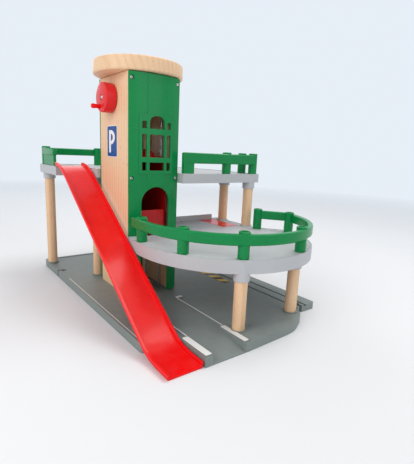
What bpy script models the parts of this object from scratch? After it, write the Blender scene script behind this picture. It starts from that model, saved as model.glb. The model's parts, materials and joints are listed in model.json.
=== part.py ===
"""A toy parking garage with a hand-cranked lift, a car ramp and a drop hatch over a toy railway.

Lengths are in metres, with Z up. The origin is on the ground below the middle of the lift tower.
The front faces -Y, the ramp is on the -X side and the railway runs along Y on the +X side.
"""

import math

import bmesh
import bpy
from mathutils import Matrix, Vector

# Clearances
TOUCH = 0.0003
RUNNING = 0.0002
SLIDING = 0.0006
OVERRUN = 0.010

# Radians between two faces that count as one
FLAT = 0.001

# Storeys, from the ground up
BASE_TOP = 0.0135
LOWER_STOREY = 0.1055
UPPER_STOREY = 0.1035
MID_TOP = BASE_TOP + LOWER_STOREY
UPPER_TOP = MID_TOP + UPPER_STOREY

# Lift tower: two wooden boards, closed in front and behind by bowed plastic shells
WELL_WIDTH = 0.072
BOARD_THICK = 0.010
BOARD_DEPTH = 0.110
BOARD_TOP = 0.378
BOARD_POCKET = 0.004
BOARD_ROUNDING = 0.0008
SHELL_EDGE = 0.0026
SHELL_WALL = 0.0026
SHELL_BULGE = 0.0086
SHELL_TONGUE = 0.005
SHELL_TONGUE_THICK = 0.002
SHELL_FOOT = 0.002
SHELL_ARC_STEPS = 8
PANEL_HALF = 0.017
PANEL_PROUD = 0.0006
WINDOW_BLOCK_HALF = 0.031
WINDOW_BLOCK_PROUD = 0.0012
WINDOW_BLOCK_FOOT = -0.0005
WINDOW_BLOCK_HEAD = 0.0935
DOOR_HALF = 0.026
DOOR_SPRING = 0.056
GROUND_DOOR_HEIGHT = 0.083
GROUND_DOOR_ROUNDING = 0.010
PANE_HALF = 0.0135
SIDE_PANE_INNER = 0.0185
SIDE_PANE_OUTER = 0.026
LOW_PANE = (0.0055, 0.0185)
TALL_PANE = (0.0265, 0.0625)
HIGH_PANE = (0.0715, 0.0825)
PANE_ARCH_RISE = 0.009

# Screws that hold the shells to the boards
SCREW_HEIGHTS = (0.062, 0.215, 0.368)
SCREW_HEAD = 0.003
SCREW_HEAD_HEIGHT = 0.0016
SCREW_SHANK = 0.0013
SCREW_LENGTH = 0.010
SCREW_SEAT = 0.002
SCREW_PLAY = 0.0004

# Lid and the plate below it
LID_RADIUS = 0.0746
LID_THICK = 0.0224
LID_ROUNDING = 0.003
TOP_PLATE_THICK = 0.006
TOP_PLATE_BOSS = 0.009
TOP_PLATE_DROP = 0.004
TOP_PLATE_DEPTH = 0.100
LID_SCREW_SHANK = 0.002
LID_SCREW_HEAD = 0.0042
LID_SCREW_HEAD_HEIGHT = 0.003
LID_SCREW_LENGTH = 0.022

# Crank, pulleys and cord
CRANK_DROP = 0.0364
CRANK_HEIGHT = BOARD_TOP - CRANK_DROP
CRANK_Y = 0.0058
CRANK_RADIUS = 0.0237
CRANK_DEPTH = 0.0165
CRANK_WALL = 0.0025
CRANK_HUB = 0.008
CRANK_ROUNDING = 0.0012
KNOB_RADIUS = 0.004
KNOB_LENGTH = 0.014
KNOB_TANG = 0.0025
KNOB_OFFSET = (0.0087, -0.0140)
AXLE_RADIUS = 0.004
BUSH_WALL = 0.002
BUSH_FLANGE = 0.0022
BUSH_FLANGE_THICK = 0.0008
PULLEY_WIDTH = 0.0050
PULLEY_PITCH = 0.01663
PULLEY_FLANGE = 0.0022
PULLEY_SIDE_GAP = 0.0016
CORD_RADIUS = 0.0009
IDLER_HEIGHT = 0.036
IDLER_PIN = 0.003
IDLER_HEAD = 0.0055
IDLER_HEAD_THICK = 0.0012
CLAMP_HEIGHT = 0.060
CLAMP_WIDTH = 0.010
CLAMP_TALL = 0.012

# Lift cab
CAB_HALF = 0.0275
CAB_WALL = 0.002
CAB_FLOOR = 0.003
CAB_DEPTH = 0.100
CAB_HEIGHT = 0.128
CAB_ROOF = 0.003
CAB_BUMP_RADIUS = 0.0145
CAB_BUMP_HEIGHT = 0.012
CAB_BUMP_Y = -0.030
CAB_EXIT_HALF = 0.023
CAB_EXIT_HEIGHT = 0.054
GATE_HEIGHT = 0.042
GATE_THICK = 0.0024
GATE_SIDE_GAP = 0.0005
GATE_BARREL = 0.0022
GATE_PIN = 0.0009
GATE_PIVOT_RISE = 0.0032
GATE_PIVOT_REACH = 0.0029
GATE_RIBS = 4
GATE_RIB_PROUD = 0.0006
ROD_RADIUS = 0.002
ROD_Y = 0.025
LUG_TALL = 0.008

# Decks
PLATE = 0.003
SKIRT = 0.0025
RIM_WIDTH = 0.0014
RIM_HEIGHT = 0.0008
RIB = 0.0018
RIB_SPACING = 0.080
MID_DEPTH = 0.019
UPPER_DEPTH = 0.0155

# Middle deck: a half ellipse in front, a strip beside the tower behind it
MID_CENTRE = (0.0995, -0.115)
MID_HALF_WIDTH = 0.151
MID_REACH = 0.163
MID_ARC_STEPS = 22
MID_ARC_END = 352.0
MID_RIGHT = 0.212
MID_WAIST = -0.092
MID_BACK = 0.032
KERB_HEIGHT = 0.010
KERB_THICK = 0.004
KERB_END = 0.195

# Drop hatch in the middle deck, with its press tab outside the skirt
HATCH_LEFT = 0.156
HATCH_WIDTH = 0.0395
HATCH_FRONT = -0.058
HATCH_LENGTH = 0.0835
HATCH_THICK = 0.0035
HATCH_GAP = 0.001
HATCH_PIVOT_DROP = 0.0078
HATCH_PIVOT_INSET = 0.0035
HATCH_PIN = 0.001
HATCH_BARREL = 0.003
HATCH_LUG = 0.006
HATCH_LUG_HALF = 0.004
TAB_Y = -0.0275
TAB_WIDTH = 0.025
TAB_REACH = 0.0155
TAB_TALL = 0.011
TAB_ARM_WIDTH = 0.016
TAB_ARM_THICK = 0.0035
SPRING_WIRE = 0.0004
SPRING_COIL = 0.0024
SPRING_TURNS = 3
SPRING_ROOM = 0.005

# Wooden pillars and their collars
PILLAR_RADIUS = 0.0095
PILLAR_CHAMFER = 0.001
COLLAR_WALL = 0.002
COLLAR_DEPTH = 0.012
SOCKET_DEPTH = 0.004
SOCKET_RIM = 0.002
FRONT_PILLAR = (0.033, -0.249)
RIGHT_PILLAR = (0.150, -0.245)
REAR_PILLAR_A = (0.209, 0.009)
REAR_PILLAR_B = (0.209, -0.066)
TALL_OUTER = (-0.094, 0.213)
TALL_INNER = (-0.042, 0.086)

# Upper deck
UPPER_RIGHT = 0.228
UPPER_FRONT = -0.076
UPPER_LEFT = -0.108
UPPER_BACK = 0.228
UPPER_WING_FRONT = 0.118
UPPER_BAY = -0.052
UPPER_RIGHT_STRAIGHT = 0.030
UPPER_BACK_STRAIGHT = 0.090
UPPER_CURVE_STEPS = 8
UPPER_ROUNDING = 0.004

# Guard rails
POST_RADIUS = 0.0085
POST_PEG = 0.003
POST_CAP = 0.003
POST_DISH = 0.0055
POST_DISH_DEPTH = 0.0012
BAR_THICK = 0.008
BAR_INSET = 0.0015
BAR_ROUNDING = 0.0015
MID_BAR = (0.020, 0.036)
UPPER_BAR = (0.0185, 0.037)
LEFT_BAR = (0.0200, 0.0340)
MID_FIRST_POST_Y = -0.095
MID_POST_ANGLES = (208.0, 242.0, 287.0, 345.0)
MID_LAST_POST = (0.003, 0.006)
MID_RAIL_START = -0.074
MID_RAIL_END = 350.0
RIGHT_POST_X = 0.150
RIGHT_RAIL_END = -0.034
RIGHT_PANEL = 0.024
LEFT_RAIL_END = 0.012
LEFT_PANEL_Y = 0.140

# Ramp
RAMP_LEFT = -0.1065
RAMP_WIDTH = 0.051
RAMP_FLOOR = 0.0022
RAMP_WALL = 0.0022
RAMP_SIDE = 0.006
RAMP_LIP = 0.0013
RAMP_FILLET = 0.0012
RAMP_LAP = 0.008
RAMP_FOOT_Y = -0.284
RAMP_TANG = 0.006
RAMP_TANG_HALF = 0.010

# Base
BASE_PLATE = 0.003
BASE_LEFT = -0.103
BASE_RIGHT = 0.222
BASE_FRONT = -0.286
BASE_SHOULDER = -0.214
BASE_BACK = 0.245
BASE_TRACK_FRONT = -0.238
BASE_RIB_SPACING = 0.100
LANE_LEFT = -0.041
LANE_RIGHT = 0.020
LANE_KERB = 0.002
LANE_KERB_RISE = 0.0015
LANE_BLOCK = 0.0115
LANE_TAB = 0.014
LANE_TAB_Y = -0.105
LANE_SLOPE_START = -0.229
LANE_SLOPE_FOOT = 0.0015
FORECOURT_Y = 0.089
FORECOURT_STEP = 0.0012
FORECOURT_RIM = 0.006
TRACK_X = 0.186
TRACK_WIDTH = 0.040
TRACK_TOP = 0.012
TRACK_EDGE = 0.165
TRACK_BACK = 0.120
GROOVE_SPREAD = 0.011
GROOVE_WIDTH = 0.0045
GROOVE_DEPTH = 0.003
SOCKET_BORE = 0.0062
SOCKET_NECK = 0.0068
SOCKET_INSET = 0.0115
SIDE_TRACK_Y = 0.147
BACK_CORNERS = ((0.160, 0.120), (0.150, 0.150), (0.060, 0.225), (0.020, 0.245))

# Derived places that several pieces share
WELL_HALF = WELL_WIDTH / 2
TOWER_HALF = WELL_HALF + BOARD_THICK
BOARD_CENTRE = WELL_HALF + BOARD_THICK / 2
SHELL_BACK = BOARD_DEPTH / 2 + TOUCH
SHELL_CORNER = SHELL_BACK + SHELL_EDGE
SHELL_FRONT = SHELL_CORNER + SHELL_BULGE
SHELL_RADIUS = (TOWER_HALF**2 + SHELL_BULGE**2) / (2 * SHELL_BULGE)
SHELL_LOW = BASE_TOP + SHELL_FOOT
SHELL_HIGH = BOARD_TOP - 0.001
LID_LOW = BOARD_TOP + TOUCH
PULLEY_X = -WELL_HALF + PULLEY_SIDE_GAP + PULLEY_WIDTH / 2
CORD_FRONT_Y = CRANK_Y - PULLEY_PITCH
PILLAR_HOLE = PILLAR_RADIUS + TOUCH
COLLAR_RADIUS = PILLAR_HOLE + COLLAR_WALL
POST_INSET = RIM_WIDTH + SLIDING + POST_RADIUS
PIT_FLOOR = BASE_TOP - CAB_FLOOR - 0.001
FOOT_RADIUS = 0.012
PAN_LOW = PIT_FLOOR - BASE_PLATE
TRACK_LEFT = TRACK_X - TRACK_WIDTH / 2

# Colour, roughness and metallic value of each finish
BEECH = ((0.84, 0.56, 0.35), 0.50, 0.0)
GREEN = ((0.00, 0.34, 0.10), 0.30, 0.0)
RED = ((0.78, 0.01, 0.01), 0.22, 0.0)
PALE_GREY = ((0.66, 0.67, 0.70), 0.35, 0.0)
ROAD_GREY = ((0.24, 0.26, 0.27), 0.40, 0.0)
STEEL = ((0.62, 0.62, 0.64), 0.28, 1.0)
WHITE = ((0.85, 0.84, 0.80), 0.40, 0.0)
CORD = ((0.80, 0.78, 0.72), 0.80, 0.0)


def clear_scene():
    """Remove whatever the open file holds."""
    for obj in list(bpy.data.objects):
        bpy.data.objects.remove(obj, do_unlink=True)


def collection(name):
    """A new collection in the scene."""
    made = bpy.data.collections.new(name)
    bpy.context.scene.collection.children.link(made)
    return made


clear_scene()
PARTS = collection("toy_parking_garage")
CUTTERS = collection("cutters")


def finish(obj, look):
    """Give the object its own material."""
    colour, roughness, metallic = look
    material = bpy.data.materials.new(obj.name)
    material.use_nodes = True
    shader = material.node_tree.nodes["Principled BSDF"]
    shader.inputs["Base Color"].default_value = (*colour, 1.0)
    shader.inputs["Roughness"].default_value = roughness
    shader.inputs["Metallic"].default_value = metallic
    obj.data.materials.clear()
    obj.data.materials.append(material)


def place(name, mesh, look):
    """Link a mesh as a part, or as a hidden tool where it has no look."""
    obj = bpy.data.objects.new(name, mesh)
    if look is None:
        CUTTERS.objects.link(obj)
        obj.hide_render = True
        obj.display_type = "WIRE"
        return obj
    PARTS.objects.link(obj)
    finish(obj, look)
    mesh.shade_smooth()
    mesh.set_sharp_from_angle(angle=math.radians(35))
    return obj


# Turn an outline's own plane, drawn in X and Y, to the plane that it is extruded square to
PLANES = {
    "Z": Matrix(((1, 0, 0), (0, 1, 0), (0, 0, 1))).to_4x4(),
    "Y": Matrix(((1, 0, 0), (0, 0, -1), (0, 1, 0))).to_4x4(),
    "X": Matrix(((0, 0, 1), (1, 0, 0), (0, 1, 0))).to_4x4(),
}


def prism(name, outlines, low, high, look=None, axis="Z"):
    """Extrude flat outlines along an axis; an outline inside another is a hole."""
    curve = bpy.data.curves.new(name, "CURVE")
    curve.dimensions = "2D"
    curve.fill_mode = "BOTH"
    curve.extrude = (high - low) / 2
    for outline in outlines:
        spline = curve.splines.new("POLY")
        spline.points.add(len(outline) - 1)
        for point, (u, v) in zip(spline.points, outline):
            point.co = (u, v, 0.0, 1.0)
        spline.use_cyclic_u = True
    middle = (low + high) / 2
    shift = {"Z": (0, 0, middle), "Y": (0, middle, 0), "X": (middle, 0, 0)}[axis]
    return place(name, welded(curve, Matrix.Translation(shift) @ PLANES[axis]), look)


def welded(curve, matrix):
    """The closed mesh of a curve, with its caps welded on and their triangles joined."""
    holder = bpy.data.objects.new("holder", curve)
    bpy.context.scene.collection.objects.link(holder)
    graph = bpy.context.evaluated_depsgraph_get()
    mesh = bpy.data.meshes.new_from_object(holder.evaluated_get(graph))
    bpy.data.objects.remove(holder, do_unlink=True)
    mesh.transform(matrix)
    work = bmesh.new()
    work.from_mesh(mesh)
    bmesh.ops.remove_doubles(work, verts=work.verts, dist=1e-6)
    bmesh.ops.recalc_face_normals(work, faces=work.faces)
    bmesh.ops.dissolve_limit(work, angle_limit=FLAT, verts=work.verts, edges=work.edges)
    work.to_mesh(mesh)
    work.free()
    return mesh


def box(name, x, y, z, look=None):
    """A block between two values on each axis."""
    work = bmesh.new()
    bmesh.ops.create_cube(work, size=1.0)
    size = (x[1] - x[0], y[1] - y[0], z[1] - z[0])
    middle = ((x[0] + x[1]) / 2, (y[0] + y[1]) / 2, (z[0] + z[1]) / 2)
    bmesh.ops.scale(work, vec=size, verts=work.verts)
    bmesh.ops.translate(work, vec=middle, verts=work.verts)
    mesh = bpy.data.meshes.new(name)
    work.to_mesh(mesh)
    work.free()
    return place(name, mesh, look)


def rod(name, radius, start, end, look=None, sides=16):
    """A round bar between two points."""
    run = Vector(end) - Vector(start)
    turn = run.to_track_quat("Z", "Y").to_matrix().to_4x4()
    matrix = Matrix.Translation((Vector(start) + Vector(end)) / 2) @ turn
    work = bmesh.new()
    bmesh.ops.create_cone(
        work, cap_ends=True, segments=sides, radius1=radius, radius2=radius, depth=run.length, matrix=matrix
    )
    mesh = bpy.data.meshes.new(name)
    work.to_mesh(mesh)
    work.free()
    return place(name, mesh, look)


def turned(name, profile, start, direction, look=None, steps=24):
    """Turn a profile of (radius, distance) points, listed from the far end back, about an axis."""
    mesh = bpy.data.meshes.new(name)
    points = [(radius, 0.0, along) for radius, along in profile]
    mesh.from_pydata(points, [(i, i + 1) for i in range(len(points) - 1)], [])
    obj = place(name, mesh, look)
    obj.location = start
    obj.rotation_mode = "QUATERNION"
    obj.rotation_quaternion = Vector(direction).to_track_quat("Z", "Y")
    screw = obj.modifiers.new("turn", "SCREW")
    screw.axis = "Z"
    screw.steps = steps
    screw.render_steps = steps
    screw.use_merge_vertices = True
    screw.merge_threshold = 0.00001
    screw.use_smooth_shade = True
    return obj


def boolean(obj, operation, tools):
    """Join or cut an object with others, in order."""
    for tool in tools:
        step = obj.modifiers.new(operation.lower(), "BOOLEAN")
        step.operation = operation
        step.solver = "EXACT"
        step.object = tool
    return obj


def fuse(obj, *tools):
    """Make the object and the tools one body."""
    return boolean(obj, "UNION", tools)


def cut(obj, *tools):
    """Take the tools' space out of the object."""
    return boolean(obj, "DIFFERENCE", tools)


def soften(obj, width, segments=2):
    """Round the sharp edges."""
    edge = obj.modifiers.new("rounding", "BEVEL")
    edge.width = width
    edge.segments = segments
    edge.limit_method = "ANGLE"
    edge.angle_limit = math.radians(40)
    return obj


def pivot(name, point, pieces):
    """Hang moving pieces on an empty that stands on their joint's axis."""
    empty = bpy.data.objects.new(name, None)
    PARTS.objects.link(empty)
    empty.empty_display_size = 0.01
    empty.location = point
    bpy.context.view_layer.update()
    for piece in pieces:
        piece.parent = empty
        piece.matrix_parent_inverse = empty.matrix_world.inverted()
    return empty


def circle(middle, radius, count=24):
    """The points of a circle."""
    turns = [2 * math.pi * i / count for i in range(count)]
    return [(middle[0] + radius * math.cos(a), middle[1] + radius * math.sin(a)) for a in turns]


def ellipse_arc(middle, half_width, half_height, start, end, count):
    """Points along part of an ellipse, by its angle in degrees."""
    steps = [math.radians(start + (end - start) * i / count) for i in range(count + 1)]
    return [(middle[0] + half_width * math.cos(a), middle[1] + half_height * math.sin(a)) for a in steps]


def rectangle(x, y):
    """The corners of a rectangle between two values each way."""
    return [(x[0], y[0]), (x[1], y[0]), (x[1], y[1]), (x[0], y[1])]


def rounded(corners, radius, steps=3):
    """A polygon with its corners rounded; radius is one value, or one for each corner."""
    radii = radius if isinstance(radius, (list, tuple)) else [radius] * len(corners)
    points = []
    for i, corner in enumerate(corners):
        here = Vector(corner)
        before = (Vector(corners[i - 1]) - here).normalized()
        after = (Vector(corners[(i + 1) % len(corners)]) - here).normalized()
        half = before.angle(after) / 2
        if radii[i] <= 0 or half > math.radians(85):
            points.append(tuple(here))
            continue
        reach = radii[i] / math.tan(half)
        start = here + before * reach
        end = here + after * reach
        for k in range(steps + 1):
            t = k / steps
            points.append(tuple(start * (1 - t) ** 2 + here * 2 * t * (1 - t) + end * t**2))
    return points


def shifted(points, distance, closed=True):
    """Move an outline to its left by a distance, keeping its corners sharp."""
    moved = []
    count = len(points)
    for i in range(count):
        here = Vector(points[i])
        before = Vector(points[i - 1]) if closed or i else None
        after = Vector(points[(i + 1) % count]) if closed or i < count - 1 else None
        runs = []
        if before is not None:
            runs.append((here - before).normalized())
        if after is not None:
            runs.append((after - here).normalized())
        sides = [Vector((-run.y, run.x)) for run in runs]
        middle = sum(sides, Vector((0.0, 0.0))).normalized()
        stretch = max(middle.dot(sides[0]), 0.4)
        moved.append(tuple(here + middle * (distance / stretch)))
    return moved


def band(points, left, right):
    """A strip along an open line, from one distance to its left to another to its right."""
    return shifted(points, left, False) + shifted(points, -right, False)[::-1]


def arch(half_width, low, spring, rise, steps=12):
    """A doorway outline with a round head."""
    head = ellipse_arc((0.0, spring), half_width, rise, 0, 180, steps)
    return [(-half_width, low), (half_width, low), *head]


def shell_arc(proud, half_width, facing, steps=SHELL_ARC_STEPS):
    """Points along a shell's bowed face, moved out by proud, from -X to +X."""
    radius = SHELL_RADIUS + proud
    middle = SHELL_FRONT - SHELL_RADIUS
    reach = math.asin(half_width / radius)
    turns = [-reach + 2 * reach * i / steps for i in range(steps + 1)]
    return [(radius * math.sin(a), facing * (middle + radius * math.cos(a))) for a in turns]


def tower_board(name, side):
    """One of the two wooden boards, with its bores and pilot holes."""
    half = BOARD_DEPTH / 2
    low = BASE_TOP - BOARD_POCKET
    faces = sorted((side * WELL_HALF, side * TOWER_HALF))
    board = box(name, faces, (-half, half), (low, BOARD_TOP), BEECH)
    soften(board, BOARD_ROUNDING, 1)
    for height in SCREW_HEIGHTS:
        for facing in (-1, 1):
            start = (side * BOARD_CENTRE, facing * (half + 0.002), height)
            end = (side * BOARD_CENTRE, facing * (half - SCREW_LENGTH), height)
            cut(board, rod("pilot", SCREW_SHANK + SCREW_PLAY, start, end, sides=8))
    if side < 0:
        bush = AXLE_RADIUS + RUNNING + BUSH_WALL + TOUCH
        across = (-TOWER_HALF - 0.002, -WELL_HALF + 0.002)
        for radius, height in ((bush, CRANK_HEIGHT), (IDLER_PIN + TOUCH, IDLER_HEIGHT)):
            start, end = [(x, CRANK_Y, height) for x in across]
            hole = rod("bore", radius, start, end, sides=24)
            cut(board, hole)
    return board


def shell_body(name, facing):
    """The bowed wall of a shell, with flat seats on the boards and tongues inside them."""
    outer = shell_arc(0.0, TOWER_HALF, facing)
    inner = shell_arc(-SHELL_WALL, WELL_HALF - SLIDING - SHELL_TONGUE_THICK, facing)
    seat = facing * SHELL_BACK
    tip = facing * (SHELL_BACK - SHELL_TONGUE)
    tongue = WELL_HALF - SLIDING
    root = tongue - SHELL_TONGUE_THICK
    right = [(tongue, seat), (tongue, tip), (root, tip)]
    left = [(-root, tip), (-tongue, tip), (-tongue, seat)]
    back = [*right, *inner[::-1], *left]
    corners = [(TOWER_HALF, seat), *back, (-TOWER_HALF, seat)]
    body = prism(name, [outer + corners], SHELL_LOW, SHELL_HIGH, GREEN)
    for side in (-1, 1):
        for height in SCREW_HEIGHTS:
            x = side * BOARD_CENTRE
            floor = SHELL_BACK + SCREW_SEAT
            seat = (x, facing * floor, height)
            hole = rod("screw_hole", SCREW_SHANK + SCREW_PLAY, (x, 0, height), seat, sides=8)
            head = SCREW_HEAD + SCREW_PLAY
            seat_hole = rod("screw_seat", head, seat, (x, facing * 0.08, height), sides=8)
            boolean(body, "DIFFERENCE", [hole, seat_hole])
    return body


def raised_strip(facing, proud, half_width, low, high):
    """A part of the bowed face that stands proud of the rest."""
    outer = shell_arc(proud, half_width, facing)
    inner = shell_arc(-SHELL_WALL / 2, half_width, facing)
    return prism("raised_strip", [outer + inner[::-1]], low, high)


def wall_cut(outlines, facing):
    """Openings cut through a shell's wall."""
    near, far = sorted((facing * (SHELL_BACK - SHELL_TONGUE - 0.01), facing * (SHELL_FRONT + 0.01)))
    return prism("wall_cut", outlines, near, far, axis="Y")


def ground_door():
    """The doorway at the foot of a shell."""
    corners = rectangle((-DOOR_HALF, DOOR_HALF), (0.0, BASE_TOP + GROUND_DOOR_HEIGHT))
    return rounded(corners, [0, 0, GROUND_DOOR_ROUNDING, GROUND_DOOR_ROUNDING])


def lift_door(floor):
    """The round-headed doorway at an upper floor."""
    return arch(DOOR_HALF, floor, floor + DOOR_SPRING, DOOR_HALF)


def window():
    """Nine panes in three rows; the middle one of the top row has a round head."""
    panes = []
    for low, high in (LOW_PANE, TALL_PANE, HIGH_PANE):
        levels = (UPPER_TOP + low, UPPER_TOP + high)
        panes.append(rectangle((SIDE_PANE_INNER, SIDE_PANE_OUTER), levels))
        panes.append(rectangle((-SIDE_PANE_OUTER, -SIDE_PANE_INNER), levels))
    for low, high in (LOW_PANE, TALL_PANE):
        panes.append(rectangle((-PANE_HALF, PANE_HALF), (UPPER_TOP + low, UPPER_TOP + high)))
    panes.append(arch(PANE_HALF, UPPER_TOP + HIGH_PANE[0], UPPER_TOP + HIGH_PANE[1], PANE_ARCH_RISE))
    return panes


def front_shell():
    """Ground doorway, middle doorway and the window above it."""
    shell = shell_body("front_shell", -1)
    door_head = MID_TOP + DOOR_SPRING + DOOR_HALF
    foot = UPPER_TOP + WINDOW_BLOCK_FOOT
    head = UPPER_TOP + WINDOW_BLOCK_HEAD
    fuse(
        shell,
        raised_strip(-1, PANEL_PROUD, PANEL_HALF, door_head + TOUCH, SHELL_HIGH - RIM_HEIGHT),
        raised_strip(-1, WINDOW_BLOCK_PROUD, WINDOW_BLOCK_HALF, foot, head),
    )
    return cut(shell, *[wall_cut(hole, -1) for hole in ([ground_door()], [lift_door(MID_TOP)], window())])


def rear_shell():
    """Ground doorway, and the doorway to the upper deck."""
    shell = shell_body("rear_shell", 1)
    head = UPPER_TOP + DOOR_SPRING + DOOR_HALF
    fuse(shell, raised_strip(1, PANEL_PROUD, PANEL_HALF, head + TOUCH, SHELL_HIGH - RIM_HEIGHT))
    return cut(shell, wall_cut([ground_door()], 1), wall_cut([lift_door(UPPER_TOP)], 1))


def shell_screws():
    """Six screws through each shell into the boards' edges."""
    for facing, place_name in ((-1, "front"), (1, "rear")):
        number = 0
        for side in (-1, 1):
            for height in SCREW_HEIGHTS:
                number += 1
                seat = (side * BOARD_CENTRE, facing * (SHELL_BACK + SCREW_SEAT + TOUCH), height)
                profile = [
                    (0.0, SCREW_HEAD_HEIGHT),
                    (SCREW_HEAD * 0.7, SCREW_HEAD_HEIGHT),
                    (SCREW_HEAD, SCREW_HEAD_HEIGHT * 0.5),
                    (SCREW_HEAD, 0.0),
                    (SCREW_SHANK, 0.0),
                    (SCREW_SHANK, SCREW_SHANK - SCREW_LENGTH),
                    (0.0, -SCREW_LENGTH),
                ]
                turned(f"shell_screw_{place_name}_{number}", profile, seat, (0, facing, 0), STEEL, 8)


def lid():
    """The round wooden lid, the plate that it is screwed to, and the screw."""
    high = LID_LOW + LID_THICK
    r = LID_ROUNDING
    rim = [
        (LID_RADIUS - r, LID_THICK),
        (LID_RADIUS - r * 0.3, LID_THICK - r * 0.3),
        (LID_RADIUS, LID_THICK - r),
        (LID_RADIUS, r),
        (LID_RADIUS - r * 0.3, r * 0.3),
        (LID_RADIUS - r, 0.0),
    ]
    roof = turned("roof_lid", [(0.0, LID_THICK), *rim, (0.0, 0.0)], (0, 0, LID_LOW), (0, 0, 1), BEECH, 36)
    plate_top = BOARD_TOP - TOP_PLATE_DROP
    plate_low = plate_top - TOP_PLATE_THICK
    depth = TOP_PLATE_DEPTH / 2
    width = WELL_HALF - TOUCH
    plate = box("top_plate", (-width, width), (-depth, depth), (plate_low, plate_top), WHITE)
    fuse(plate, rod("boss", TOP_PLATE_BOSS, (0, 0, plate_low + TOUCH), (0, 0, BOARD_TOP), sides=24))
    shank = LID_SCREW_SHANK + SCREW_PLAY
    cut(plate, rod("shank_hole", shank, (0, 0, plate_low - 0.01), (0, 0, BOARD_TOP + 0.01)))
    tip = plate_low + LID_SCREW_LENGTH
    cut(roof, rod("pilot", shank, (0, 0, LID_LOW - 0.01), (0, 0, min(tip, high - r)), sides=16))
    for y in (-ROD_Y, ROD_Y):
        x = rod_x()
        start, end = (x, y, plate_low - OVERRUN), (x, y, plate_top + OVERRUN)
        cut(plate, rod("rod_hole", ROD_RADIUS + TOUCH, start, end))
    head = [
        (0.0, LID_SCREW_LENGTH - 0.001),
        (LID_SCREW_SHANK, LID_SCREW_LENGTH - 0.002),
        (LID_SCREW_SHANK, -TOUCH),
        (LID_SCREW_HEAD, -TOUCH),
        (LID_SCREW_HEAD, -LID_SCREW_HEAD_HEIGHT * 0.6),
        (LID_SCREW_HEAD * 0.7, -LID_SCREW_HEAD_HEIGHT),
        (0.0, -LID_SCREW_HEAD_HEIGHT),
    ]
    turned("lid_screw", head, (0, 0, plate_low), (0, 0, 1), STEEL, 16)


def rod_x():
    """The guide rods' distance from the middle, between the cab and the board."""
    return (CAB_HALF + WELL_HALF) / 2 + 0.0003


def crank():
    """The crank wheel with its knob, axle, screw and drive pulley, which turn, and the fixed bush."""
    back = -TOWER_HALF - BUSH_FLANGE_THICK - 2 * TOUCH
    face = back - CRANK_DEPTH
    bore = AXLE_RADIUS + TOUCH
    r = CRANK_ROUNDING
    profile = [
        (bore, CRANK_DEPTH),
        (CRANK_RADIUS - r, CRANK_DEPTH),
        (CRANK_RADIUS - r * 0.3, CRANK_DEPTH - r * 0.3),
        (CRANK_RADIUS, CRANK_DEPTH - r),
        (CRANK_RADIUS, 0.0),
        (CRANK_RADIUS - CRANK_WALL, 0.0),
        (CRANK_RADIUS - CRANK_WALL, CRANK_DEPTH - CRANK_WALL * 2),
        (CRANK_HUB, CRANK_DEPTH - CRANK_WALL * 2),
        (CRANK_HUB, 0.0),
        (bore, 0.0),
        (bore, CRANK_DEPTH),
    ]
    centre = (back, CRANK_Y, CRANK_HEIGHT)
    wheel = turned("crank_wheel", profile, centre, (-1, 0, 0), RED, 28)
    knob_y = CRANK_Y + KNOB_OFFSET[0]
    knob_z = CRANK_HEIGHT + KNOB_OFFSET[1]
    seat = (face, knob_y, knob_z)
    deep = CRANK_WALL * 2 + 0.002
    start, end = (face - OVERRUN, knob_y, knob_z), (face + deep, knob_y, knob_z)
    cut(wheel, rod("tang_hole", KNOB_TANG + TOUCH, start, end))
    knob_profile = [
        (0.0, KNOB_LENGTH),
        (KNOB_RADIUS * 0.7, KNOB_LENGTH - 0.0004),
        (KNOB_RADIUS, KNOB_LENGTH - 0.0015),
        (KNOB_RADIUS * 0.85, KNOB_LENGTH * 0.5),
        (KNOB_RADIUS, TOUCH),
        (KNOB_TANG, TOUCH),
        (KNOB_TANG, TOUCH - CRANK_WALL * 2),
        (0.0, TOUCH - CRANK_WALL * 2),
    ]
    knob = turned("crank_knob", knob_profile, seat, (-1, 0, 0), RED, 16)
    pulley_end = PULLEY_X + PULLEY_WIDTH / 2
    axle_start = face + CRANK_WALL
    start, end = [(x, CRANK_Y, CRANK_HEIGHT) for x in (axle_start, pulley_end)]
    axle = rod("crank_axle", AXLE_RADIUS, start, end, STEEL, 24)
    screw_profile = [
        (0.0, CRANK_WALL + 0.0005),
        (SCREW_HEAD * 0.8, CRANK_WALL + 0.0002),
        (SCREW_HEAD, CRANK_WALL - 0.0006),
        (SCREW_HEAD, TOUCH),
        (SCREW_SHANK, TOUCH),
        (SCREW_SHANK, -SCREW_LENGTH),
        (0.0, -SCREW_LENGTH),
    ]
    screw = turned("crank_screw", screw_profile, start, (-1, 0, 0), STEEL, 16)
    bottom = (axle_start + SCREW_LENGTH + 0.001, CRANK_Y, CRANK_HEIGHT)
    cut(axle, rod("thread_hole", SCREW_SHANK + TOUCH, (face - 0.01, CRANK_Y, CRANK_HEIGHT), bottom))
    pulley = pulley_wheel("drive_pulley", CRANK_HEIGHT, AXLE_RADIUS + TOUCH)
    inner = AXLE_RADIUS + RUNNING
    outer = inner + BUSH_WALL
    long = BOARD_THICK + BUSH_FLANGE_THICK
    bush_profile = [
        (inner, long + TOUCH),
        (outer + BUSH_FLANGE, long + TOUCH),
        (outer + BUSH_FLANGE, long + TOUCH - BUSH_FLANGE_THICK),
        (outer, long + TOUCH - BUSH_FLANGE_THICK),
        (outer, 0.0),
        (inner, 0.0),
        (inner, long + TOUCH),
    ]
    turned("axle_bush", bush_profile, (-WELL_HALF, CRANK_Y, CRANK_HEIGHT), (-1, 0, 0), WHITE, 24)
    pivot("crank_turn", (-TOWER_HALF, CRANK_Y, CRANK_HEIGHT), [wheel, knob, axle, screw, pulley])


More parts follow.
